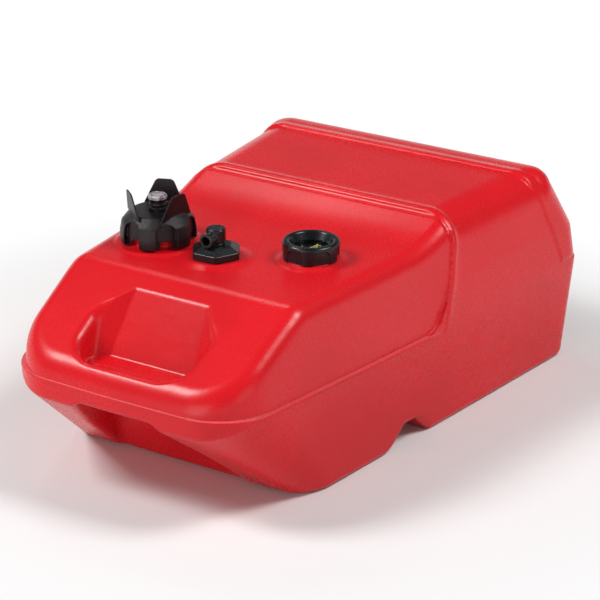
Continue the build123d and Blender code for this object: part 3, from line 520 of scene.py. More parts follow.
class ShaderSheet:
    """The node tree of a material or of the world, and the one way by which nodes get into it."""

    def __init__(self, owner: bpy.types.Material | bpy.types.World) -> None:
        """Start an empty tree."""
        self.owner = owner
        self.owner.use_nodes = True
        self.tree = self.owner.node_tree
        self.tree.nodes.clear()

    def node(self, kind: str, settings: dict, inputs: dict) -> Wire:
        """Add a node.

        Args:
            kind: Blender's type name.
            settings: Attributes that are set first.
            inputs: Values or wires for its sockets, by name or number.

        Returns:
            Its first output, or its first input where it has no output.
        """
        made = self.tree.nodes.new(kind)
        for key, value in settings.items():
            setattr(made, key, value)
        for key, value in inputs.items():
            socket = made.inputs[key]
            if isinstance(value, Wire):
                self.tree.links.new(value.socket, socket)
            elif isinstance(value, tuple) and socket.type == "RGBA":
                socket.default_value = (*value, 1.0)
            else:
                socket.default_value = value
        return Wire(self, (made.outputs or made.inputs)[0])

    def place(self) -> Wire:
        """Where a point lies on the piece, in metres."""
        return self.node("ShaderNodeTexCoord", {}, {}).output("Object")

    def parts(self, vector: Wire) -> Wire:
        """A vector taken apart; its outputs are X, Y and Z."""
        return self.node("ShaderNodeSeparateXYZ", {}, {0: vector})

    def stretched(self, where: Wire, scale: Point) -> Wire:
        """A place with each of its parts scaled."""
        return self.node("ShaderNodeVectorMath", {"operation": "MULTIPLY"}, {0: where, 1: scale})

    def noise(self, where: Wire, scale: float, detail: float = 2.0, rough: float = 0.5) -> Wire:
        """Cloudy values about one half; scale counts blobs per metre."""
        inputs = {"Vector": where, "Scale": scale, "Detail": detail, "Roughness": rough}
        return self.node("ShaderNodeTexNoise", {"noise_dimensions": "3D"}, inputs)

    def blend(self, share: Wire | float, first: Colour | Wire, second: Colour | Wire) -> Wire:
        """One colour turning into another as the share goes from 0 to 1."""
        made = self.node("ShaderNodeMix", {"data_type": "RGBA"}, {0: share, 6: first, 7: second})
        return made.output(2)

    def bump(self, height: Wire, depth: float, below: Wire | None = None) -> Wire:
        """Relief of a height that goes from 0 to 1 over a depth in metres."""
        base = {"Normal": below} if below else {}
        return self.node("ShaderNodeBump", {}, {"Strength": 1.0, "Distance": depth, "Height": height, **base})

    def principled(self, inputs: dict) -> Wire:
        """The usual surface shader."""
        return self.node("ShaderNodeBsdfPrincipled", {}, inputs)

    def close(self, surface: Wire, kind: str = "Material") -> bpy.types.Material | bpy.types.World:
        """Join a surface to the output of the material or world."""
        self.node(f"ShaderNodeOutput{kind}", {}, {"Surface": surface})
        return self.owner


@dataclass(frozen=True)
class Finish:
    """A finish: its name and how its surface is wired."""

    name: str

    def material(self) -> bpy.types.Material:
        """The material, made on its first use."""
        found = bpy.data.materials.get(self.name)
        return found if found else self.wire(ShaderSheet(bpy.data.materials.new(self.name)))

    def wire(self, sheet: ShaderSheet) -> bpy.types.Material:
        """Fill the sheet; each finish has its own way."""
        raise NotImplementedError


@dataclass(frozen=True)
class MouldedShell(Finish):
    """Blow-moulded polyethylene with a fine orange peel and the thin line where the mould halves meet, painted paler
    as a highlight along the lip.

    Places on the tank are in metres, as the shader reads them.
    """

    name: str = "red_polyethylene"
    body: Colour = colour(208, 22, 32)
    deep: Colour = colour(196, 16, 26)
    # pale pink of the painted highlight along the parting line
    lip_highlight: Colour = colour(232, 104, 108)
    roughness: float = 0.28
    specular: float = 0.3
    nose: float = 0.2815
    seam_height: float = 0.111
    seam_slope: float = 0.0288
    seam_end: float = 0.0305
    weld_ahead: float = 0.2415
    weld_height: float = 0.120

    def wire(self, sheet: ShaderSheet) -> bpy.types.Material:
        """Wire the shell: a broad cloud shifts its tone, two sizes of waviness make the peel, and the parting line
        gets a painted highlight.

        Args:
            sheet: An empty sheet.

        Returns:
            The material.
        """
        where = sheet.place()
        parts = sheet.parts(where)
        along, up = parts.output("Y"), parts.output("Z")
        broad = sheet.noise(where, scale=9.0, detail=3.0)
        peel = sheet.noise(where, scale=620.0, detail=3.0, rough=0.6)
        waves = sheet.noise(where, scale=70.0, detail=2.0)
        body = sheet.blend(broad.eased(0.3, 0.7), self.body, self.deep)
        # the line of the mould halves falls from the nose to the foot of the step
        parting = abs(up - (self.seam_height - (along + self.nose) * self.seam_slope)).eased(0.0007, 0.0002)
        parting = parting * (self.seam_end - along).eased(0.0, 0.002)
        weld = abs(along + self.weld_ahead).eased(0.0009, 0.0003)
        weld = weld * abs(up - self.weld_height).eased(0.002, 0.001)
        relief = sheet.bump(peel, depth=0.00005, below=sheet.bump(waves, depth=0.00022))
        relief = sheet.bump(parting + weld, depth=0.0003, below=relief)
        # painted highlight: the parting line is made paler, standing in for the light that the lip's round edge
        # catches
        body = sheet.blend(parting * (0.35 + peel * 0.5), body, self.lip_highlight)
        surface = sheet.principled(
            {
                "Base Color": body,
                "Roughness": self.roughness + (peel - 0.5) * 0.10 + (broad - 0.5) * 0.08,
                "Specular IOR Level": self.specular,
                "Normal": relief,
            }
        )
        return sheet.close(surface)


@dataclass(frozen=True)
class Moulding(Finish):
    """Plain injection-moulded plastic or rubber with a fine grain."""

    name: str = "black_fitting"
    body: Colour = colour(12, 15, 17)
    fleck: Colour = colour(20, 23, 25)
    roughness: float = 0.27
    grain_scale: float = 900.0
    grain_depth: float = 0.00004
    grain_spread: float = 0.10
    specular: float = 0.4

    def wire(self, sheet: ShaderSheet) -> bpy.types.Material:
        """Wire the moulding: one fine cloud makes the grain, and a broad one the handled look.

        Args:
            sheet: An empty sheet.

        Returns:
            The material.
        """
        where = sheet.place()
        grain = sheet.noise(where, scale=self.grain_scale, detail=3.0, rough=0.65)
        broad = sheet.noise(where, scale=45.0, detail=3.0)
        surface = sheet.principled(
            {
                "Base Color": sheet.blend((grain * 0.6 + broad * 0.4).eased(0.42, 0.62), self.body, self.fleck),
                "Roughness": self.roughness + (grain - 0.5) * self.grain_spread + (broad - 0.5) * 0.12,
                "Specular IOR Level": self.specular,
                "Normal": sheet.bump(grain, depth=self.grain_depth),
            }
        )
        return sheet.close(surface)


@dataclass(frozen=True)
class Mottled(Finish):
    """Silver-grey plastic with dark and pale spots, as a worn plated button has."""

    name: str = "mottled_grey"
    dark: Colour = colour(96, 86, 92)
    pale: Colour = colour(196, 188, 194)

    def wire(self, sheet: ShaderSheet) -> bpy.types.Material:
        """Wire the button: a spotted cloud sets its colour and its gloss.

        Args:
            sheet: An empty sheet.

        Returns:
            The material.
        """
        where = sheet.place()
        spots = sheet.noise(where, scale=330.0, detail=3.0, rough=0.6)
        patches = sheet.noise(where, scale=130.0, detail=2.0)
        share = (spots * 0.65 + patches * 0.35).eased(0.38, 0.62)
        surface = sheet.principled(
            {
                "Base Color": sheet.blend(share, self.dark, self.pale),
                "Roughness": 0.42 - share * 0.15,
                "Metallic": 0.25,
                "Normal": sheet.bump(spots, depth=0.00012),
            }
        )
        return sheet.close(surface)


@dataclass(frozen=True)
class ClearPlastic(Finish):
    """Clear acrylic with faint moulding waves."""

    name: str = "clear_lens"

    def wire(self, sheet: ShaderSheet) -> bpy.types.Material:
        """Wire the lens: it lets light through, and a broad cloud waves its face a little.

        Args:
            sheet: An empty sheet.

        Returns:
            The material.
        """
        where = sheet.place()
        waves = sheet.noise(where, scale=60.0, detail=1.0)
        surface = sheet.principled(
            {
                "Base Color": (0.93, 0.95, 0.95),
                "Roughness": 0.03 + waves * 0.03,
                "IOR": 1.2,
                "Transmission Weight": 1.0,
                "Normal": sheet.bump(waves, depth=0.00003),
            }
        )
        return sheet.close(surface)


@dataclass(frozen=True)
class DrawnSteel(Finish):
    """Bright drawn steel with fine lines along its length."""

    name: str = "drawn_steel"
    body: Colour = colour(176, 178, 182)
    groove: Colour = colour(140, 142, 146)
    stretch: Point = (6.0, 6.0, 0.15)

    def wire(self, sheet: ShaderSheet) -> bpy.types.Material:
        """Wire the steel: a cloud stretched along Z makes the drawing lines.

        Args:
            sheet: An empty sheet.

        Returns:
            The material.
        """
        where = sheet.place()
        lines = sheet.noise(sheet.stretched(where, self.stretch), scale=500.0, detail=3.0, rough=0.6)
        surface = sheet.principled(
            {
                "Base Color": sheet.blend(lines.eased(0.35, 0.65), self.body, self.groove),
                "Roughness": 0.22 + lines * 0.2,
                "Metallic": 1.0,
                "Normal": sheet.bump(lines, depth=0.00002),
            }
        )
        return sheet.close(surface)


@dataclass(frozen=True)
class StageFloor(Finish):
    """Pale studio floor that keeps the object's shadow and turns plain white further out.

    The white starts at near and is full at far, both squares of a distance from the middle, in square metres.
    """

    name: str = "studio_floor"
    body: Colour = (0.76, 0.76, 0.76)
    cloud: Colour = (0.78, 0.78, 0.78)
    near: float = 0.10
    far: float = 0.34

    def wire(self, sheet: ShaderSheet) -> bpy.types.Material:
        """Wire the floor: a faint cloud in its tone, and white further out.

        The white is only for rays from the camera, in gloss and through clear plastic, so the floor lights the
        tank as the pale surface it is.

        Args:
            sheet: An empty sheet.

        Returns:
            The material.
        """
        where = sheet.place()
        parts = sheet.parts(where)
        across, along = parts.output("X"), parts.output("Y")
        rays = sheet.node("ShaderNodeLightPath", {}, {})
        seen = rays.output("Is Camera Ray") + rays.output("Is Glossy Ray") + rays.output("Is Transmission Ray")
        tone = sheet.blend(sheet.noise(where, scale=3.0, detail=2.0), self.body, self.cloud)
        surface = sheet.principled({"Base Color": tone, "Roughness": 0.9, "Specular IOR Level": 0.1})
        white = sheet.node("ShaderNodeEmission", {}, {"Strength": 1.0})
        share = (across * across + along * along).eased(self.near, self.far) * seen
        return sheet.close(sheet.node("ShaderNodeMixShader", {}, {0: share, 1: surface, 2: white}))


SHELL = MouldedShell()
FITTING = Moulding()
CAP_PLASTIC = Moulding(
    "cap_grain",
    colour(12, 6, 8),
    colour(33, 20, 24),
    roughness=0.4,
    grain_scale=760.0,
    grain_depth=0.0004,
    grain_spread=0.4,
    specular=0.32,
)
NATURAL = Moulding("natural_acetal", colour(226, 224, 214), colour(216, 213, 202), roughness=0.4)
SCREEN = Moulding(
    "screen_mesh", colour(232, 230, 222), colour(190, 188, 180), roughness=0.5, grain_scale=2600.0, grain_depth=0.0002
)
FOAM = Moulding(
    "float_foam", colour(38, 38, 40), colour(58, 58, 60), roughness=0.85, grain_scale=1400.0, grain_depth=0.0003
)
RUBBER = Moulding(
    "seal_rubber", colour(26, 26, 27), colour(34, 34, 35), roughness=0.7, grain_scale=1200.0, grain_depth=0.00004
)
POINTER = Moulding("pointer_yellow", colour(224, 213, 112), colour(214, 201, 98), roughness=0.35)
DISC = Mottled()
LENS = ClearPlastic()
STEEL = DrawnSteel()


# ------------------------------------------------------------------------------------------ the tank
@dataclass(frozen=True)
class Pad:
    """A raised round pad under a fitting, and the bore through it."""

    spot: Spot
    foot: float
    top: float
    rise: float
    bore: float


@dataclass
class TankShell:
    """The moulded shell: a tapering lower half, an upper front half and a rear block.

    Its methods take x, the place across the tank, s, the station, and z, the height. A field that ends in _line
    holds two points of a leaning face in its section. A plain factor or divisor behind a leaning face's formula
    makes a distance of it: it is the cosine of the face's lean, or one over that cosine. The last number given to
    soft_both is the cosine between the two faces.
    """

    front_half: float = 131.0
    taper: float = 0.10286
    bow: float = 4.0
    nose_corner: float = 50.0
    nose_edge: float = 8.0
    ramp_corner: float = 24.0
    floor_edge: float = 6.0
    ramp_run: float = 112.0
    ramp_top: float = 95.0
    draft: float = 4.0
    rear_station: float = 549.0
    rear_rake: float = 14.0
    rear_corner: float = 26.0
    block_start: float = 316.0
    ledge: float = 107.0
    lip: float = 4.5
    nose_top: float = 111.0
    seam_fall: float = 9.0
    seam_climb: float = 2.811
    bead: float = 1.0
    groove_middle: float = 262.0
    groove_depth: float = 21.0
    groove_front_edge: float = 26.0
    groove_rear_edge: float = 8.0
    groove_front_line: Line = ((258.0, 21.0), (236.0, 0.0))
    groove_rear_line: Line = ((300.0, 0.0), (278.0, 21.0))
    lean: float = 0.105
    top_edge: float = 17.0
    flare: float = 52.0
    flare_lip: float = 2.6
    slope: float = 0.53982
    shoulder: float = 126.0
    slope_edge: float = 30.0
    rise_start: float = 272.0
    rise_radius: float = 180.0
    rise_top: float = 201.0
    tuck: float = 1.8
    step_foot: Spot = (312.0, 102.0)
    step_top: Spot = (349.0, 206.0)
    step_rake: float = 0.356
    step_edge: float = 2.8
    step_bead: float = 1.2
    knee: float = 145.0
    knee_inset: float = 4.0
    top_inset: float = 12.0
    back_inset: float = 31.5
    back_foot: float = 558.5
    back_knee: float = 554.5
    top: float = 206.0
    crown_edge: float = 40.0
    crown_edge_back: float = 16.0
    band_line: Line = ((521.0, 107.0), (486.0, 192.0))
    band_rise: float = 1.25
    band_edge: float = 4.5
    pocket_floor: float = 120.0
    pocket_half: float = 59.0
    pocket_front: float = 19.0
    pocket_corner: float = 26.0
    pocket_edge: float = 7.0
    pocket_back_line: Line = ((58.0, 120.0), (94.0, 176.7))
    recess_foot_line: Line = ((76.0, -4.0), (66.0, 53.0))
    recess_head_line: Line = ((66.0, 53.0), (34.0, 113.0))
    recess_roof: float = 113.0
    recess_depth: float = 111.0
    recess_wall_run: float = 41.0
    recess_edge: float = 5.0
    space_middle: Point = (-11.0, 187.0, 94.0)
    space_half: Point = (108.0, 54.0, 82.0)
    space_corner: float = 14.0
    cell: float = 2.7
    pads: tuple[Pad, ...] = (
        Pad(CAP_SPOT, foot=42.0, top=40.5, rise=1.5, bore=23.0),
        Pad(PICKUP_SPOT, foot=34.0, top=28.0, rise=2.5, bore=12.5),
        Pad(GAUGE_SPOT, foot=33.0, top=29.0, rise=2.5, bore=20.0),
    )

    def _half_width(self, station: Array) -> Array:
        """Half the width at the parting line: it grows evenly with the station."""
        return self.front_half + self.taper * (station - self.bow)

    def _bulge(self, x: Array) -> Array:
        """How far the bowed nose stands ahead of its own corners: a parabola across the tank."""
        return self.bow * (1 - np.minimum((x / self.front_half) ** 2, 1.0))

    def _below_knee(self, z: Array) -> Array:
        """Inset of the block's lower faces: it grows evenly from nothing at the ledge to its size at the knee."""
        return self.knee_inset * (z - self.ledge) / (self.knee - self.ledge)

    def _above_knee(self, z: Array, inset: float) -> Array:
        """Inset of an upper face: it grows evenly from nothing at the knee to its size at the top."""
        return inset * (z - self.knee) / (self.top - self.knee)

    def _seam(self, s: Array) -> Array:
        """Height of the parting line: it falls from the nose to the step, climbs its foot and follows the ledge."""
        behind = s - self.step_foot[0]
        front = self.nose_top - self.seam_fall * (s + self.bow) / (self.step_foot[0] + self.bow)
        return np.where(behind > 0, np.minimum(self.step_foot[1] + behind * self.seam_climb, self.ledge), front)

    def _sides(self, x: Array, s: Array, z: Array) -> tuple[Array, Array]:
        """Side faces of the lower half and of the rear block.

        Each is a plane that leans with the taper and the draft. The block's two planes meet in a soft knee, and run
        on from the lower half's without an edge.

        Args:
            x: Across.
            s: Station.
            z: Height.

        Returns:
            The lower half's distance and the block's.
        """
        wide = np.abs(x) - self._half_width(s)
        low = (wide + self.draft * (1 - z / self.ledge)) / math.hypot(1.0, self.taper)
        middle = (wide + self._below_knee(z)) / 1.0108
        high = (wide + self.knee_inset + self._above_knee(z, self.top_inset)) / 1.0243
        return low, soft_both(soft_both(middle, high, 60.0, 0.996), low, 150.0, 0.99)

    def _tub(self, x: Array, s: Array, z: Array) -> Array:
        """Lower half: sides, bowed nose, ramp, rear face and floor, each edge with its own round.

        Args:
            x: Across.
            s: Station.
            z: Height.

        Returns:
            Distance in millimetres, negative inside.
        """
        side, merged = self._sides(x, s, z)
        side = side + (merged - side) * grown(s, self.block_start, 30.0)
        bulge = self._bulge(x)
        nose = self.bow + 0.1 - bulge - s
        ramp = (self.ramp_run - bulge - s - z * self.ramp_run / self.ramp_top) * 0.6469
        rear = (s - self.rear_station - self.rear_rake * z / self.ledge) * 0.9915
        corner = self.ramp_corner + (self.nose_corner - self.ramp_corner) * grown(z, 0.0, self.ramp_top)
        ends = soft_both(side, soft_both(nose, ramp, self.nose_edge, 0.647), corner)
        ends = soft_both(ends, rear, self.rear_corner)
        front_wall, rear_wall = past_line(s, z, *self.groove_front_line), past_line(s, z, *self.groove_rear_line)
        walls = soft_both(front_wall, rear_wall, 1.0)
        groove = soft_both(walls, z - self.groove_depth, 8.0, 0.72)
        groove_edge = np.where(s < self.groove_middle, self.groove_front_edge, self.groove_rear_edge)
        return soft_both(ends, soft_both(-z, -groove, groove_edge, 0.72), self.floor_edge)

    def _crown(self, x: Array, s: Array, z: Array, proud: float | Array = 0.0) -> Array:
        """Rear block without the step at its front: leaning sides and back, and a flat top.

        Args:
            x: Across.
            s: Station.
            z: Height.
            proud: Distance by which each face stands out.

        Returns:
            Distance in millimetres, negative inside.
        """
        _, side = self._sides(x, s, z)
        lower_back = (s - self.back_foot + self._below_knee(z)) * 0.9945
        upper_back = (s - self.back_knee + self._above_knee(z, self.back_inset)) * 0.8885
        back = soft_both(lower_back, upper_back, 20.0, 0.9317)
        around = soft_both(side, back, self.rear_corner) - proud
        at_back = grown(s, 500.0, 30.0)
        edge = self.crown_edge - (self.crown_edge - self.crown_edge_back) * at_back
        return soft_both(around, z - self.top - proud, edge, 0.19 + 0.27 * at_back)

    def _block(self, x: Array, s: Array, z: Array) -> Array:
        """Rear block with the band over its back, and with the step at its front, which has a low bead.

        The band stands out behind a line of the section, with a smooth rise at its edge.

        Args:
            x: Across.
            s: Station.
            z: Height.

        Returns:
            Distance in millimetres, negative inside.
        """
        region = soft_both(-past_line(s, z, *self.band_line), self.band_line[1][0] - s, 14.0)
        within = np.clip(0.5 - np.maximum(region, self.ledge + 3.0 - z) / self.band_edge, 0.0, 1.0)
        band = (self.band_rise + self.band_rise * grown(z, 192.0, 12.0)) * within**2 * (3 - 2 * within)
        step = past_line(s, z, self.step_top, self.step_foot)
        capped = self._crown(x, s, z, band + self.step_bead * ridge(step, -5.0, 4.0))
        return soft_both(capped, step, self.step_edge, 0.335 * grown(z, 190.0, 12.0))

    def _upper(self, x: Array, s: Array, z: Array) -> Array:
        """Upper front half, set in by the lip: shoulder, front slope, deck and the flare behind it.

        In front of the step the deck rises, and the sides swell, along arcs that end just under the step's edge.

        Args:
            x: Across.
            s: Station.
            z: Height.

        Returns:
            Distance in millimetres, negative inside.
        """
        ahead = (s - self.step_foot[0] - (z - self.step_foot[1]) * self.step_rake) * 0.942
        swell = np.clip(ahead + self.flare, 0.0, self.flare + 8.0)
        inset = self.lip + np.maximum(self.lean * (z - self.ledge), 0.0)
        inset = inset - (self.lip - self.flare_lip) * (swell / self.flare) ** 2 * grown(z, 112.0, 40.0)
        block_inset = np.maximum(self._below_knee(z), self.knee_inset + self._above_knee(z, self.top_inset))
        side = (np.abs(x) - self._half_width(s) + np.maximum(inset, block_inset + self.tuck)) * 0.9947
        nose = self.bow + 1.0 - self._bulge(x) - s
        around = soft_both(side, nose, self.nose_corner)
        slope = (z - self.shoulder - self.slope * s) * 0.88
        rise = np.clip(s - self.rise_start, 0.0, 100.0) ** 2 / (2 * self.rise_radius)
        top = soft_both((z - DECK - rise) * 0.97, slope, self.slope_edge, 0.88)
        top = np.maximum(top, z - self.rise_top)
        # where the sides swell, this half stays just inside the block's own faces
        under_crown = self._crown(x, s, z) + self.tuck - 24.0 * np.clip(1 - swell / self.flare, 0.0, 1.0)
        return np.maximum(soft_both(around, top, self.top_edge, 0.1), under_crown)

    def _pocket(self, x: Array, s: Array, z: Array) -> Array:
        """Hand pocket in the front slope: a drafted well with a leaning rear wall and a slanting facet at each end.

        Args:
            x: Across.
            s: Station.
            z: Height.

        Returns:
            Distance in millimetres, negative inside.
        """
        draft = (z - self.pocket_floor) * 0.1051
        wide = np.abs(x) - self.pocket_half - draft
        front = self.pocket_front - draft - s
        facet = 0.578 * np.abs(x) + 0.712 * s - 0.398 * z - 20.2
        walls = soft_both(soft_both(wide, front, self.pocket_corner), facet, 10.0, 0.58)
        walls = soft_both(walls, past_line(s, z, *self.pocket_back_line), 3.0, 0.81)
        return soft_both(walls, self.pocket_floor - z, 3.0, 0.4)

    def _recess(self, x: Array, s: Array, z: Array) -> Array:
        """Hand recess under the nose: an arch that runs back to a leaning wall.

        Args:
            x: Across.
            s: Station.
            z: Height.

        Returns:
            Distance in millimetres, negative inside.
        """
        wide = np.abs(x)
        low, high = past_line(wide, z, *self.recess_foot_line), past_line(wide, z, *self.recess_head_line)
        arch = soft_both(low, high, 30.0, 0.95)
        roof = soft_both((z - 94.0 - 0.5278 * s) * 0.8844, z - self.recess_roof, 10.0, 0.884)
        wall = (s - self.recess_depth + z * self.recess_wall_run / self.recess_roof) * 0.94
        return soft_both(arch, soft_both(roof, wall, 8.0, 0.34), 6.0)

    def _fuel_space(self, x: Array, s: Array, z: Array) -> Array:
        """Space behind the deck's necks: a rounded box with one bore up into each neck.

        Args:
            x: Across.
            s: Station.
            z: Height.

        Returns:
            Distance in millimetres, negative inside.
        """
        bores = [np.hypot(x - pad.spot[0], s - pad.spot[1]) - pad.bore for pad in self.pads]
        necks = np.maximum(np.minimum.reduce(bores), 150.0 - z)
        faces = [np.abs(v - middle) - half for v, middle, half in zip((x, s, z), self.space_middle, self.space_half)]
        room = soft_both(soft_both(faces[0], faces[1], self.space_corner), faces[2], self.space_corner)
        return np.minimum(necks, room)

    def shape(self, x: Array, y: Array, z: Array) -> Array:
        """Field of the whole shell.

        The lower half, with a bead along its rim, the block and the upper half are joined, and so are the pads. The
        pocket, the recess and the fuel space are cut out. Each edge has its own round.

        Args:
            x: Place along X.
            y: Place along Y.
            z: Place along Z.

        Returns:
            Distance in millimetres, negative in the plastic.
        """
        s = y - NOSE_Y
        seam = self._seam(s)
        # the bead fades out towards the nose and before the step
        bead = self.bead * grown(s, 20.0, 60.0) * grown(s, 306.0, -16.0) * ridge(z - seam, -2.4, 2.0)
        tub = soft_both(self._tub(x, s, z) - bead, z - seam, 1.4)
        block = np.maximum(self._block(x, s, z), 100.0 - z)
        lower = soft_either(tub, block, 2.0 * grown(s, 545.0, 12.0))
        step = past_line(s, z, self.step_top, self.step_foot)
        # the corner between the ledge and the step is filled up to a round hollow
        corner = np.maximum(np.maximum(*self._sides(x, s, z)), soft_either(z - seam, step, 24.0))
        fill = soft_both(corner, np.maximum(np.maximum(290.0 - s, 90.0 - z), s - 345.0), 2.0)
        upper = np.maximum(self._upper(x, s, z), np.maximum(seam - 6.0 - z, -12.0 - step))
        body = soft_either(np.minimum(lower, fill), upper, 1.2 + 1.6 * grown(s, 304.0, 14.0))
        for pad in self.pads:
            reach = np.hypot(x - pad.spot[0], s - pad.spot[1])
            cone = past_line(reach, z, (pad.foot, DECK), (pad.top, DECK + pad.rise))
            raised = soft_both(np.maximum(cone, DECK - 6.0 - z), z - DECK - pad.rise, 1.2)
            body = soft_either(body, raised, 1.5)
        at_back = grown(s, 60.0, 20.0)
        body = soft_both(body, -self._pocket(x, s, z), self.pocket_edge, 0.85 * at_back - 0.3 * (1 - at_back))
        body = soft_both(body, -self._recess(x, s, z), self.recess_edge)
        return np.maximum(body, -self._fuel_space(x, s, z))

    def _place(self, across: Array, station: Array, height: Array) -> Triple:
        """Bend the grid so that its lines run with the sides and with the parting line.

        Args:
            across: Lines across the tank, at the nose's width.
            station: Lines along it.
            height: Lines up it, level with the ledge.

        Returns:
            X, Y and Z.
        """
        x = across * self._half_width(station) / self.front_half
        foot = self.step_foot[0]
        fall = self.nose_top - self.ledge - self.seam_fall * (station + self.bow) / (foot + self.bow)
        fall = np.where(station < foot, fall, 0.0)
        z = height + fall * np.clip(1 - np.abs(height - self.ledge) / 60.0, 0.0, 1.0)
        return x, station + NOSE_Y, z

    def build(self) -> None:
        """Build the shell on a grid that is closer at its sides, nose, step, back, floor, ledge and deck."""
        across = lines_between(0.0, 137.0, self.cell, [(122.0, 134.0, 1.6)])
        across = np.concatenate([-across[:0:-1], across])
        station = lines_between(-6.0, 569.0, self.cell, [(-6.0, 12.0, 2.0), (304.0, 352.0, 1.6), (553.0, 566.0, 1.7)])
        height = lines_between(-3.0, 212.0, self.cell, [(-3.0, 6.0, 2.0), (103.0, 112.0, 1.3), (186.0, 192.0, 1.6)])
        grid = CellGrid((across, station, height), self._place)
        piece = add_mesh("tank_shell", *grid.surface(self.shape, probe=0.08), SHELL)
        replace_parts(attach(piece, "tank"), "tank_body")


# ------------------------------------------------------------------------------------------ fittings on the deck
def neck_profile(bore: float, foot: float, wall: float, top: float) -> list[Arc]:
    """Profile of a short neck with a stepped foot, from its bore and the radii of its foot and wall."""
    return [
        Arc(bore, -4.0),
        Arc(foot, -4.0),
        Arc(foot, 2.6, 0.3),
        Arc(wall, 3.2, 0.3),
        Arc(wall, top, 0.5),
        Arc(bore, top, 0.5),
    ]


def band_profile(inner: float, outer: float, low: float, high: float, edge: float = 0.4) -> list[Arc]:
    """Profile of a flat ring, all of whose edges have the same round."""
    return [Arc(inner, low, edge), Arc(outer, low, edge), Arc(outer, high, edge), Arc(inner, high, edge)]


@dataclass
class Fitting:
    """A fitting that stands on the deck, and the ways in which its pieces are made."""

    spot: Spot

    @property
    def centre(self) -> Point:
        """Where the fitting's axis meets the deck."""
        return self.spot[0], self.spot[1] + NOSE_Y, DECK

    def _from_axis(self, x: Array, y: Array, z: Array) -> Triple:
        """Offsets from the centre."""
        return x - self.centre[0], y - self.centre[1], z - DECK

    @staticmethod
    def _spokes(px: Array, py: Array, turn: float, count: int) -> tuple[Array, Array]:
        """Distance out from the axis and sideways from the nearest of several equal spokes.

        Args:
            px: Offset from the axis along X.
            py: Offset from the axis along Y.
            turn: Angle of the first spoke, in degrees.
            count: Number of spokes.

        Returns:
            The distance along the spoke and the one beside it.
        """
        radius = np.hypot(px, py)
        share = FULL_TURN / count
        angle = (np.arctan2(py, px) - math.radians(turn) + share / 2) % share - share / 2
        return radius * np.cos(angle), radius * np.sin(angle)

    def _turned(self, name: str, corners: Sequence[Arc], finish: "Finish", around: int = 96) -> bpy.types.Object:
        """A ring or disc about the fitting's axis."""
        return turned(name, self.centre, corners, finish, around)

    def _wrapped(
        self, name: str, shape: Field, spaces: int, lines: Lines, probe: float, finish: "Finish"
    ) -> bpy.types.Object:
        """A surface found on a grid of angles, radii and heights.

        Args:
            name: Name of the piece.
            shape: Its field.
            spaces: Number of spaces round the axis.
            lines: Lines of the radii and of the heights.
            probe: Step over which slopes are measured.
            finish: What it is made of.

        Returns:
            The new object.
        """
        angles = np.linspace(0, FULL_TURN, spaces + 1)
        grid = CellGrid((angles, *lines), upright(self.centre), wraps=True)
        return add_mesh(name, *grid.surface(shape, probe), finish)

    def _squared(self, name: str, shape: Field, lines: Lines, probe: float, finish: "Finish") -> bpy.types.Object:
        """A surface found on a grid of plain offsets from the centre.

        Args:
            name: Name of the piece.
            shape: Its field.
            lines: Lines along X, Y and Z.
            probe: Step over which slopes are measured.
            finish: What it is made of.

        Returns:
            The new object.
        """
        return add_mesh(name, *CellGrid(lines, straight(self.centre)).surface(shape, probe), finish)


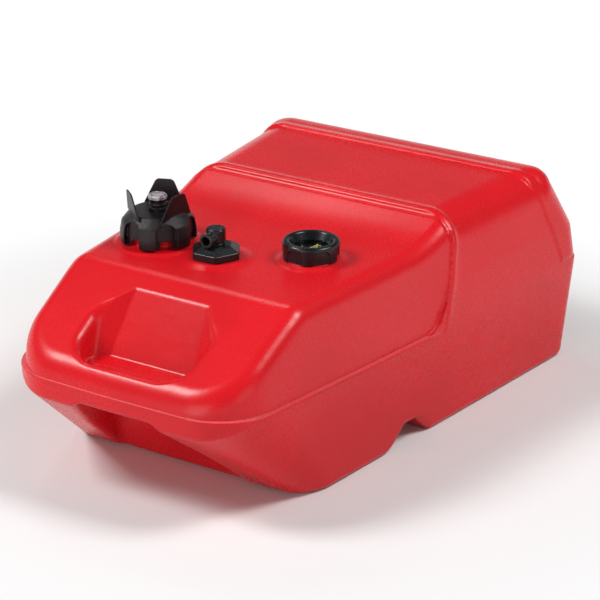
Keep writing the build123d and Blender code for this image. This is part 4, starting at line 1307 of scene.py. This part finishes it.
@dataclass
class FillerCap(Fitting):
    """Filler neck with its thread, the cap's bell with arched grips and three petals, its lining and gasket."""

    spot: Spot = CAP_SPOT
    foot: float = 3.0
    crown: float = 32.0
    foot_radius: float = 36.2
    widest: Spot = (37.0, 11.0)
    brow: Spot = (34.7, 24.0)
    crown_radius: float = 25.8
    grips: int = 6
    grip_turn: float = 19.0
    panel_radius: float = 32.4
    grip_half_width: float = 10.0
    grip_top: float = 27.2
    petals: int = 3
    petal_turn: float = -9.0
    petal_foot: float = 29.8
    petal_top: float = 53.6
    petal_length: float = 24.2
    petal_reach: float = 23.0
    petal_lean: float = 4.0
    petal_wall: float = 1.6
    petal_half_width: float = 20.0
    petal_narrowing: float = 11.75
    neck_radius: float = 25.6
    pitch: float = 6.0
    cell: float = 0.62

    def _petal(self, px: Array, py: Array, h: Array) -> Array:
        """Field of the three petals: leaning plates with a tapering outline.

        Args:
            px: Offset from the axis along X.
            py: Offset from the axis along Y.
            h: Height over the deck.

        Returns:
            Distance in millimetres, negative in the plastic.
        """
        out, side = self._spokes(px, py, self.petal_turn, self.petals)
        rise = h - self.petal_foot
        lean = self.petal_reach + self.petal_lean * rise / self.petal_length
        plate = soft_both(lean - out, out - lean - self.petal_wall, 0.3)
        beside = (np.abs(side) - self.petal_half_width + rise * self.petal_narrowing / self.petal_length) * 0.9
        outline = soft_both(beside, h - self.petal_top, 3.0)
        return soft_both(np.maximum(plate, -rise), outline, 0.7)

    def shape(self, x: Array, y: Array, z: Array) -> Array:
        """Field of the bell, its grips and its petals.

        The bell is what three cones and two flats share. Each grip is an arch-shaped space outside a round panel
        that narrows upwards, and opens into the skirt at its foot.

        Args:
            x: Place along X.
            y: Place along Y.
            z: Place along Z.

        Returns:
            Distance in millimetres, negative in the plastic.
        """
        px, py, h = self._from_axis(x, y, z)
        r = np.hypot(px, py)
        skirt = past_line(r, h, (self.foot_radius, self.foot), self.widest)
        bulge = past_line(r, h, self.widest, self.brow)
        shoulder = past_line(r, h, self.brow, (self.crown_radius, self.crown))
        bell = soft_both(soft_both(skirt, bulge, 30.0, 0.96), shoulder, 6.0, 0.8)
        bell = soft_both(bell, h - self.crown, 3.0, 0.74)
        bell = soft_both(bell, self.foot - h, 0.8)
        out, side = self._spokes(px, py, self.grip_turn, self.grips)
        beside = np.abs(side) - self.grip_half_width
        arch = soft_both(beside, h - self.grip_top, 9.0)
        grip = soft_both(self.panel_radius - 0.1 * np.clip(h - 12.0, 0.0, 16.0) - r, arch, 1.2)
        mouth = soft_both(np.maximum(30.4 - out, beside), h - 11.0, 1.0)
        bell = soft_both(bell, -np.minimum(grip, mouth), 1.0)
        room = np.maximum(r - 30.3, h - 27.0)
        bell = soft_both(bell, -np.minimum(room, r - 8.3), 0.6)
        return soft_either(bell, self._petal(px, py, h), 1.2)

    def _thread(self, depth: float, low: float, high: float) -> bpy.types.Object:
        """Helical ridge on the neck.

        Point (i, j) lies at angle j round the axis; its height climbs evenly by one pitch a turn, plus the offset
        of profile point i. The ridge's depth grows from nothing over the first and last third of a turn.

        Args:
            depth: How far the ridge stands out.
            low: Height of its start.
            high: Height of its end.

        Returns:
            The new object.
        """
        turns = (high - low) / self.pitch
        angle = np.linspace(0, FULL_TURN * turns, int(96 * turns))
        share = np.clip(np.minimum(angle, angle[-1] - angle) / 2.1, 0.0, 1.0)
        share = share * share * (3 - 2 * share)
        out = np.array([-0.6, 0.25, 0.8, 1.0, 1.0, 0.8, 0.25, -0.6])
        up = np.array([-1.5, -1.25, -0.85, -0.45, 0.45, 0.85, 1.25, 1.5])
        reach = self.neck_radius + depth * out[None] * np.where(out[None] > 0, share[:, None], 1.0)
        height = low + self.pitch * angle[:, None] / FULL_TURN + up[None]
        points = np.stack([reach * np.cos(angle)[:, None], reach * np.sin(angle)[:, None], height], axis=2)
        rows, columns = points.shape[:2]
        index = np.arange(rows * columns).reshape(rows, columns)
        low_side, high_side = index[:-1], index[1:]
        ring = np.stack([low_side, high_side, np.roll(high_side, -1, 1), np.roll(low_side, -1, 1)], axis=2)
        # the eight corners at each end are closed by three faces of four
        caps = np.stack([index[0][[0, 1, 2, 3]], index[0][[0, 3, 4, 7]], index[0][[4, 5, 6, 7]]])
        ends = np.stack([index[-1][[3, 2, 1, 0]], index[-1][[7, 4, 3, 0]], index[-1][[7, 6, 5, 4]]])
        faces = np.vstack([ring.reshape(-1, 4), caps, ends])
        return add_mesh("filler_thread", points.reshape(-1, 3) + np.asarray(self.centre), faces, None, SHELL)

    def build(self) -> None:
        """Build the neck, thread, gasket, lining and bell."""
        wall = self.neck_radius
        corners = [Arc(22.0, -5.0), Arc(31.0, -5.0), Arc(31.0, 1.2, 0.3), Arc(wall, 2.6, 3.0)]
        neck = self._turned("filler_neck", [*corners, Arc(wall, 22.0, 0.8), Arc(22.0, 22.0, 0.8)], SHELL, 128)
        for piece in (neck, self._thread(1.3, 6.5, 19.0)):
            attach(piece, "tank")
        ring = band_profile(inner=22.0, outer=27.0, low=22.0, high=24.0, edge=0.5)
        gasket = self._turned("cap_seal_ring", ring, RUBBER)
        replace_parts(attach(gasket, "cap_seal"), "cap_gasket")
        skirt = [Arc(27.3, 11.0), Arc(30.0, 11.0), Arc(30.0, 27.0, 0.6), Arc(8.0, 27.0, 0.5)]
        hub = [Arc(8.0, 36.0, 0.7), Arc(4.05, 36.0, 0.4), Arc(4.05, 24.0, 0.2), Arc(27.3, 24.0, 0.6)]
        lining = self._turned("cap_lining", skirt + hub, CAP_PLASTIC)
        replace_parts(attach(lining, "cap"), "cap_insert")
        radius = lines_between(7.2, 38.4, self.cell)
        height = lines_between(self.foot - 1.0, self.petal_top + 1.0, self.cell)
        bell = self._wrapped("cap_bell", self.shape, 360, (radius, height), 0.03, CAP_PLASTIC)
        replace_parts(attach(bell, "cap"), "cap_shell")


@dataclass
class VentScrew(Fitting):
    """Vent screw in the cap's hub: stem with its knob, seal ring and the grey disc on top."""

    spot: Spot = CAP_SPOT
    knob_foot: float = 38.0
    disc_foot: float = 44.0
    disc_top: float = 48.0

    def build(self) -> None:
        """Turn the stem with its knob, the seal ring and the disc."""
        foot, top = self.knob_foot, self.disc_foot
        rod = [Arc(0.0, 20.2, 0.0), Arc(4.0, 20.2, 0.5), Arc(4.0, foot, 0.3)]
        knob = [Arc(8.4, foot, 0.7), Arc(7.6, 40.6, 0.6), Arc(8.3, top, 0.5)]
        socket = [Arc(3.0, top, 0.1), Arc(3.0, 41.0, 0.1), Arc(0.0, 41.0, 0.0)]
        stem = self._turned("vent_screw", rod + knob + socket, CAP_PLASTIC)
        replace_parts(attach(stem, "vent"), "vent_stem")
        ring = band_profile(inner=4.3, outer=6.3, low=36.0, high=37.96, edge=0.95)
        seal = self._turned("vent_seal_ring", ring, RUBBER)
        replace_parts(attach(seal, "vent_seal"), "vent_o_ring")
        peg = [Arc(0.0, 41.05, 0.0), Arc(2.95, 41.05, 0.1), Arc(2.95, top, 0.1)]
        rim = [Arc(9.2, top, 0.6), Arc(9.2, self.disc_top, 1.9), Arc(6.2, self.disc_top, 0.5)]
        dish = [Arc(5.6, 47.5, 0.5), Arc(0.0, 47.5, 0.0)]
        disc = self._turned("vent_disc_top", peg + rim + dish, DISC)
        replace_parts(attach(disc, "vent"), "vent_disc")


@dataclass
class FuelPickup(Fitting):
    """Fuel pickup: neck, gasket, hexagonal nut, the body with its hose port and the slotted plug."""

    spot: Spot = PICKUP_SPOT
    nut_turn: float = 2.7
    across_flats: float = 43.6
    nut_foot: float = 2.8
    nut_side: float = 6.5
    nut_top: float = 14.8
    cone_radius: float = 13.0
    barrel_radius: float = 7.75
    barrel_top: float = 30.3
    port_height: float = 21.8
    port_reach: float = 17.0
    port_radius: float = 5.9
    plug_depth: float = 3.0

    def nut_shape(self, x: Array, y: Array, z: Array) -> Array:
        """Field of the nut: six upright flats, six leaning ones above them and a stepped hole.

        Args:
            x: Place along X.
            y: Place along Y.
            z: Place along Z.

        Returns:
            Distance in millimetres, negative in the plastic.
        """
        px, py, h = self._from_axis(x, y, z)
        r = np.hypot(px, py)
        flat, _ = self._spokes(px, py, self.nut_turn + 30.0, 6)
        half = self.across_flats / 2
        leaning = past_line(flat, h, (half, self.nut_foot + self.nut_side), (self.cone_radius, self.nut_top))
        body = soft_both(soft_both(flat - half, leaning, 1.0, 0.53), r - 24.3, 0.8, 0.9)
        body = soft_both(soft_both(body, h - self.nut_top, 0.8), self.nut_foot - h, 0.5)
        room = np.maximum(r - 16.3, h - 11.5)
        return soft_both(body, -np.minimum(room, r - 8.05), 0.4)

    def body_shape(self, x: Array, y: Array, z: Array) -> Array:
        """Field of the body: flange, stem, barrel with a collar, and the port with its rings and bores.

        Args:
            x: Place along X.
            y: Place along Y.
            z: Place along Z.

        Returns:
            Distance in millimetres, negative in the plastic.
        """
        px, py, h = self._from_axis(x, y, z)
        r = np.hypot(px, py)
        swell = 1.4 * grown(h, 16.4, 1.6)
        barrel = soft_both(soft_both(r - self.barrel_radius - swell, h - self.barrel_top, 1.3), -14.0 - h, 0.5)
        collar = soft_both(r - self.barrel_radius - 1.1, np.abs(h - self.nut_top - 0.9) - 0.7, 0.4)
        flange = soft_both(r - 15.7, np.abs(h - 10.5) - 1.0, 0.3)
        out, ring = -py, np.hypot(px, h - self.port_height)
        port = soft_both(ring - self.port_radius, np.maximum(out - self.port_reach, -out), 0.6)
        end_ring = soft_both(ring - 7.1, np.abs(out - self.port_reach + 2.1) - 2.1, 0.7)
        neck_ring = soft_both(ring - 6.5, np.abs(out - 10.4) - 1.1, 0.6)
        body = soft_either(soft_either(barrel, port, 1.2), collar, 0.3)
        body = soft_either(soft_either(np.minimum(body, flange), end_ring, 0.4), neck_ring, 0.4)
        bore = np.maximum(ring - 4.3, self.port_reach - 12.0 - out)
        gallery = np.maximum(ring - 2.4, -out)
        body = np.maximum(soft_both(body, -bore, 0.4), -gallery)
        chamber = np.maximum(r - 3.6, -2.0 - h)
        valve_seat = np.maximum(r - 2.4, np.abs(h + 8.0) - 7.0)
        plug_seat = np.maximum(r - 7.4, self.barrel_top - self.plug_depth - h)
        return np.maximum(body, -np.minimum(np.minimum(chamber, valve_seat), plug_seat))

    def plug_shape(self, x: Array, y: Array, z: Array) -> Array:
        """Field of the plug: a disc with a stem below and a straight slot across its top.

        Args:
            x: Place along X.
            y: Place along Y.
            z: Place along Z.

        Returns:
            Distance in millimetres, negative in the plastic.
        """
        px, py, h = self._from_axis(x, y, z)
        r, top = np.hypot(px, py), self.barrel_top
        disc = soft_both(r - 7.35, np.maximum(h - top, top - self.plug_depth - h), 0.35)
        stem = np.maximum(r - 3.55, np.maximum(top - 2 * self.plug_depth - h, h - top + 2.0))
        turn = math.radians(self.nut_turn)
        beside = np.abs(-px * math.sin(turn) + py * math.cos(turn)) - 0.7
        return soft_both(np.minimum(disc, stem), -np.maximum(beside, top - 1.4 - h), 0.25)

    def build(self) -> None:
        """Build the neck, gasket, nut, body and plug."""
        neck = self._turned("pickup_neck", neck_profile(bore=12.5, foot=19.0, wall=16.0, top=8.0), SHELL)
        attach(neck, "tank")
        gasket = self._turned("pickup_seal", band_profile(inner=12.5, outer=15.7, low=8.0, high=9.5), RUBBER)
        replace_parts(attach(gasket, "tank"), "pickup_gasket")
        lines = (lines_between(7.2, 26.2, 0.45), lines_between(1.8, 15.8, 0.4))
        nut = self._wrapped("hex_nut", self.nut_shape, 288, lines, 0.02, FITTING)
        lines = (lines_between(-16.6, 16.6, 0.5), lines_between(-18.2, 16.6, 0.5), lines_between(-15.0, 31.4, 0.5))
        barrel = self._squared("pickup_barrel", self.body_shape, lines, 0.02, FITTING)
        lines = (lines_between(-7.9, 7.9, 0.3), lines_between(-7.9, 7.9, 0.3), lines_between(23.6, 31.0, 0.28))
        plug = self._squared("slotted_plug", self.plug_shape, lines, 0.02, FITTING)
        for piece, node in ((nut, "pickup_nut"), (barrel, "pickup_body"), (plug, "pickup_plug")):
            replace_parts(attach(piece, "tank"), node)


@dataclass
class FloatGauge(Fitting):
    """Float gauge: neck, gasket, bowl with its dial, lens, pointer and the ring that holds them."""

    spot: Spot = GAUGE_SPOT
    ring_foot: float = 2.6
    ring_top: float = 20.4
    ring_radius: float = 27.3
    recess_turn: float = 25.0
    recess_plane: float = 24.7
    recess_half_width: float = 8.4
    recess_top: float = 15.8
    bowl_top: float = 13.0
    bowl_bore: float = 1.55
    mouth_radius: float = 17.0
    rim_radius: float = 21.5
    pointer_height: float = 8.75
    pointer_length: float = 14.0

    def ring_shape(self, x: Array, y: Array, z: Array) -> Array:
        """Field of the ring: a drum with a round rim, a conical mouth and six arched flats round its side.

        Args:
            x: Place along X.
            y: Place along Y.
            z: Place along Z.

        Returns:
            Distance in millimetres, negative in the plastic.
        """
        px, py, h = self._from_axis(x, y, z)
        r = np.hypot(px, py)
        drum = soft_both(r - self.ring_radius, h - self.ring_top, 2.9)
        drum = soft_both(drum, self.ring_foot - h, 0.6)
        out, side = self._spokes(px, py, self.recess_turn, 6)
        arch = soft_both(np.abs(side) - self.recess_half_width, h - self.recess_top, 6.5)
        drum = soft_both(drum, -soft_both(self.recess_plane - out, arch, 0.6), 1.0)
        mouth = past_line(r, h, (self.mouth_radius, self.bowl_top), (self.rim_radius, self.ring_top))
        mouth = soft_both(mouth, self.bowl_top - h, 0.5)
        hole = np.minimum(np.maximum(r - 23.8, h - self.bowl_top), r - self.mouth_radius)
        return soft_both(soft_both(drum, -mouth, 1.2), -hole, 0.4)

    def pointer_shape(self, x: Array, y: Array, z: Array) -> Array:
        """Field of the pointer: a round hub and a tapering arm with soft edges.

        Args:
            x: Place along X.
            y: Place along Y.
            z: Place along Z.

        Returns:
            Distance in millimetres, negative in the plastic.
        """
        px, py, h = self._from_axis(x, y, z)
        r = np.hypot(px, py)
        arm = soft_both(np.abs(px) - 3.5 + (py - 1.5) * 2.75 / 12.5, py - self.pointer_length, 0.5)
        flat = soft_either(r - 3.0, soft_both(arm, 1.5 - py, 0.3), 1.0)
        layer = np.maximum(h - self.pointer_height - 1.0, self.pointer_height - h)
        return np.maximum(soft_both(flat, layer, 0.25), self.bowl_bore - r)

    def build(self) -> None:
        """Build the neck, gasket, bowl, lens, ring and pointer."""
        neck = self._turned("gauge_neck", neck_profile(bore=20.0, foot=26.0, wall=23.5, top=9.5), SHELL)
        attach(neck, "tank")
        gasket = self._turned("gauge_seal", band_profile(inner=20.0, outer=23.2, low=9.5, high=11.0), RUBBER)
        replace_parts(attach(gasket, "tank"), "gauge_gasket")
        bore, top = self.bowl_bore, self.bowl_top
        cup = [Arc(bore, 3.0, 0.1), Arc(19.0, 3.0, 0.6), Arc(19.0, 11.0, 0.1)]
        flange = [Arc(23.2, 11.0, 0.3), Arc(23.2, top, 0.3), Arc(17.4, top, 0.1)]
        lens_seat = [Arc(17.4, 11.5, 0.1), Arc(16.4, 11.5, 0.1)]
        dial = [Arc(16.4, 7.0, 0.8), Arc(bore, 7.0, 0.1)]
        bowl = self._turned("gauge_dial_bowl", cup + flange + lens_seat + dial, FITTING)
        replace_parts(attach(bowl, "tank"), "gauge_bowl")
        disc = [Arc(0.0, 11.5, 0.0), Arc(17.3, 11.5, 0.1), Arc(17.3, top, 0.2), Arc(0.0, top, 0.0)]
        lens = self._turned("gauge_window", disc, LENS)
        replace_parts(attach(lens, "tank"), "gauge_lens")
        lines = (lines_between(16.4, 28.2, 0.42), lines_between(1.6, 21.4, 0.45))
        ring = self._wrapped("gauge_clamp_ring", self.ring_shape, 288, lines, 0.02, FITTING)
        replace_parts(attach(ring, "tank"), "gauge_ring")
        lines = (lines_between(-4.2, 4.2, 0.25), lines_between(-3.8, 14.8, 0.25), lines_between(8.3, 10.2, 0.2))
        pointer = self._squared("dial_pointer", self.pointer_shape, lines, 0.02, POINTER)
        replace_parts(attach(pointer, "pointer"), "gauge_pointer")


class InnerFinish(Enum):
    """Finishes of the pieces inside the tank, whose frame shapes are kept."""

    TUBE = ("dip_tube", NATURAL)
    SCREEN = ("filter_screen", SCREEN)
    BALL = ("check_ball", STEEL)
    SPRING = ("check_spring", STEEL)
    LEFT_ROD = ("guide_rod_left", STEEL)
    RIGHT_ROD = ("guide_rod_right", STEEL)
    STRIP = ("twist_strip", STEEL)
    BRACKET = ("lower_bracket", NATURAL)
    FLOAT = ("float_drum", FOAM)
    PLATE = ("float_plate", NATURAL)
    CLIP = ("vent_clip", NATURAL)

    @staticmethod
    def dress() -> None:
        """Give every kept piece its finish."""
        for inner in InnerFinish:
            node, finish = inner.value
            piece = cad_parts[node]
            piece.data.materials.clear()
            piece.data.materials.append(finish.material())


# ------------------------------------------------------------------------------------------ the studio
@dataclass(frozen=True)
class Lamp:
    """A square soft lamp: its name, its place and side in metres, and its light in watts."""

    name: str
    spot: Point
    size: float
    power: float

    def hang(self, target: Vector) -> None:
        """Hang the lamp so that it faces a target."""
        data = bpy.data.lights.new(self.name, "AREA")
        data.shape = "SQUARE"
        data.size = self.size
        data.energy = self.power
        lamp = bpy.data.objects.new(self.name, data)
        lamp.location = self.spot
        lamp.rotation_mode = "QUATERNION"
        lamp.rotation_quaternion = (target - Vector(self.spot)).to_track_quat("-Z", "Y")
        bpy.context.scene.collection.objects.link(lamp)


@dataclass
class Studio:
    """Pale floor, soft lamps, the world and the camera."""

    azimuth: float = 32.74
    elevation: float = 22.55
    distance: float = 2149.1
    beside: float = 161.9
    above: float = 187.7
    shift: Point = (4.0, -277.5, 3.0)
    lens: float = 141.70
    sensor: float = 36.0
    farthest: float = 50.0
    floor_half: float = 6000.0
    wall_foot: float = 0.05
    wall_head: float = 0.33
    world_light: float = 0.10
    target: Point = (0.0, 0.0, 0.1)
    lamps: tuple[Lamp, ...] = (
        Lamp("key", (-1.25, -1.15, 1.95), size=0.7, power=45.0),
        Lamp("side", (1.2, 0.4, 1.9), size=0.7, power=30.0),
        Lamp("top", (-1.05, 0.9, 1.75), size=0.35, power=2.2),
        Lamp("low_front", (-0.1, -1.9, 0.35), size=1.0, power=8.5),
        Lamp("low_side", (2.0, -0.9, 0.7), size=1.0, power=3.5),
    )

    def _camera(self) -> None:
        """Stand the camera at its azimuth and elevation, looking straight along its own axis."""
        a, e = math.radians(self.azimuth), math.radians(self.elevation)
        back = Vector((math.sin(a) * math.cos(e), -math.cos(a) * math.cos(e), math.sin(e)))
        right = Vector((math.cos(a), math.sin(a), 0.0))
        up = back.cross(right)
        spot = (back * self.distance + right * self.beside + up * self.above + Vector(self.shift)) * MILLIMETRE
        data = bpy.data.cameras.new("camera")
        data.lens = self.lens
        data.sensor_width = self.sensor
        data.clip_end = self.farthest
        camera = bpy.data.objects.new("camera", data)
        turn = Matrix((right, up, back)).transposed()
        camera.matrix_world = Matrix.Translation(spot) @ turn.to_4x4()
        bpy.context.scene.collection.objects.link(camera)
        bpy.context.scene.camera = camera

    def _world(self) -> None:
        """Wire the world as a studio wall: white at its foot, falling to a soft grey overhead."""
        world = bpy.data.worlds.new("studio")
        bpy.context.scene.world = world
        sheet = ShaderSheet(world)
        height = sheet.parts(sheet.node("ShaderNodeTexCoord", {}, {}).output("Generated")).output("Z")
        strength = height.eased(self.wall_foot, self.wall_head, 1.0, self.world_light)
        light = sheet.node("ShaderNodeBackground", {}, {"Color": (1.0, 1.0, 1.0), "Strength": strength})
        sheet.close(light, "World")

    def _floor(self) -> None:
        """Lay a wide flat floor."""
        corners = np.array([[-1.0, -1.0, 0.0], [1.0, -1.0, 0.0], [1.0, 1.0, 0.0], [-1.0, 1.0, 0.0]])
        floor = add_mesh("floor", corners * self.floor_half, np.array([[0, 1, 2, 3]]), None, StageFloor())

    def build(self) -> None:
        """Set up the camera, world, floor and lamps."""
        self._camera()
        self._world()
        self._floor()
        for lamp in self.lamps:
            lamp.hang(Vector(self.target))
        bpy.context.scene.view_settings.view_transform = "Standard"


def main() -> None:
    """Build every sub-assembly in order, then the studio."""
    for assembly in (TankShell(), FillerCap(), VentScrew(), FuelPickup(), FloatGauge()):
        assembly.build()
        log.info("built %s", type(assembly).__name__)
    InnerFinish.dress()
    Studio().build()


if __name__ == "__main__":
    logging.basicConfig(level=logging.INFO, format="%(name)s: %(message)s")
    main()
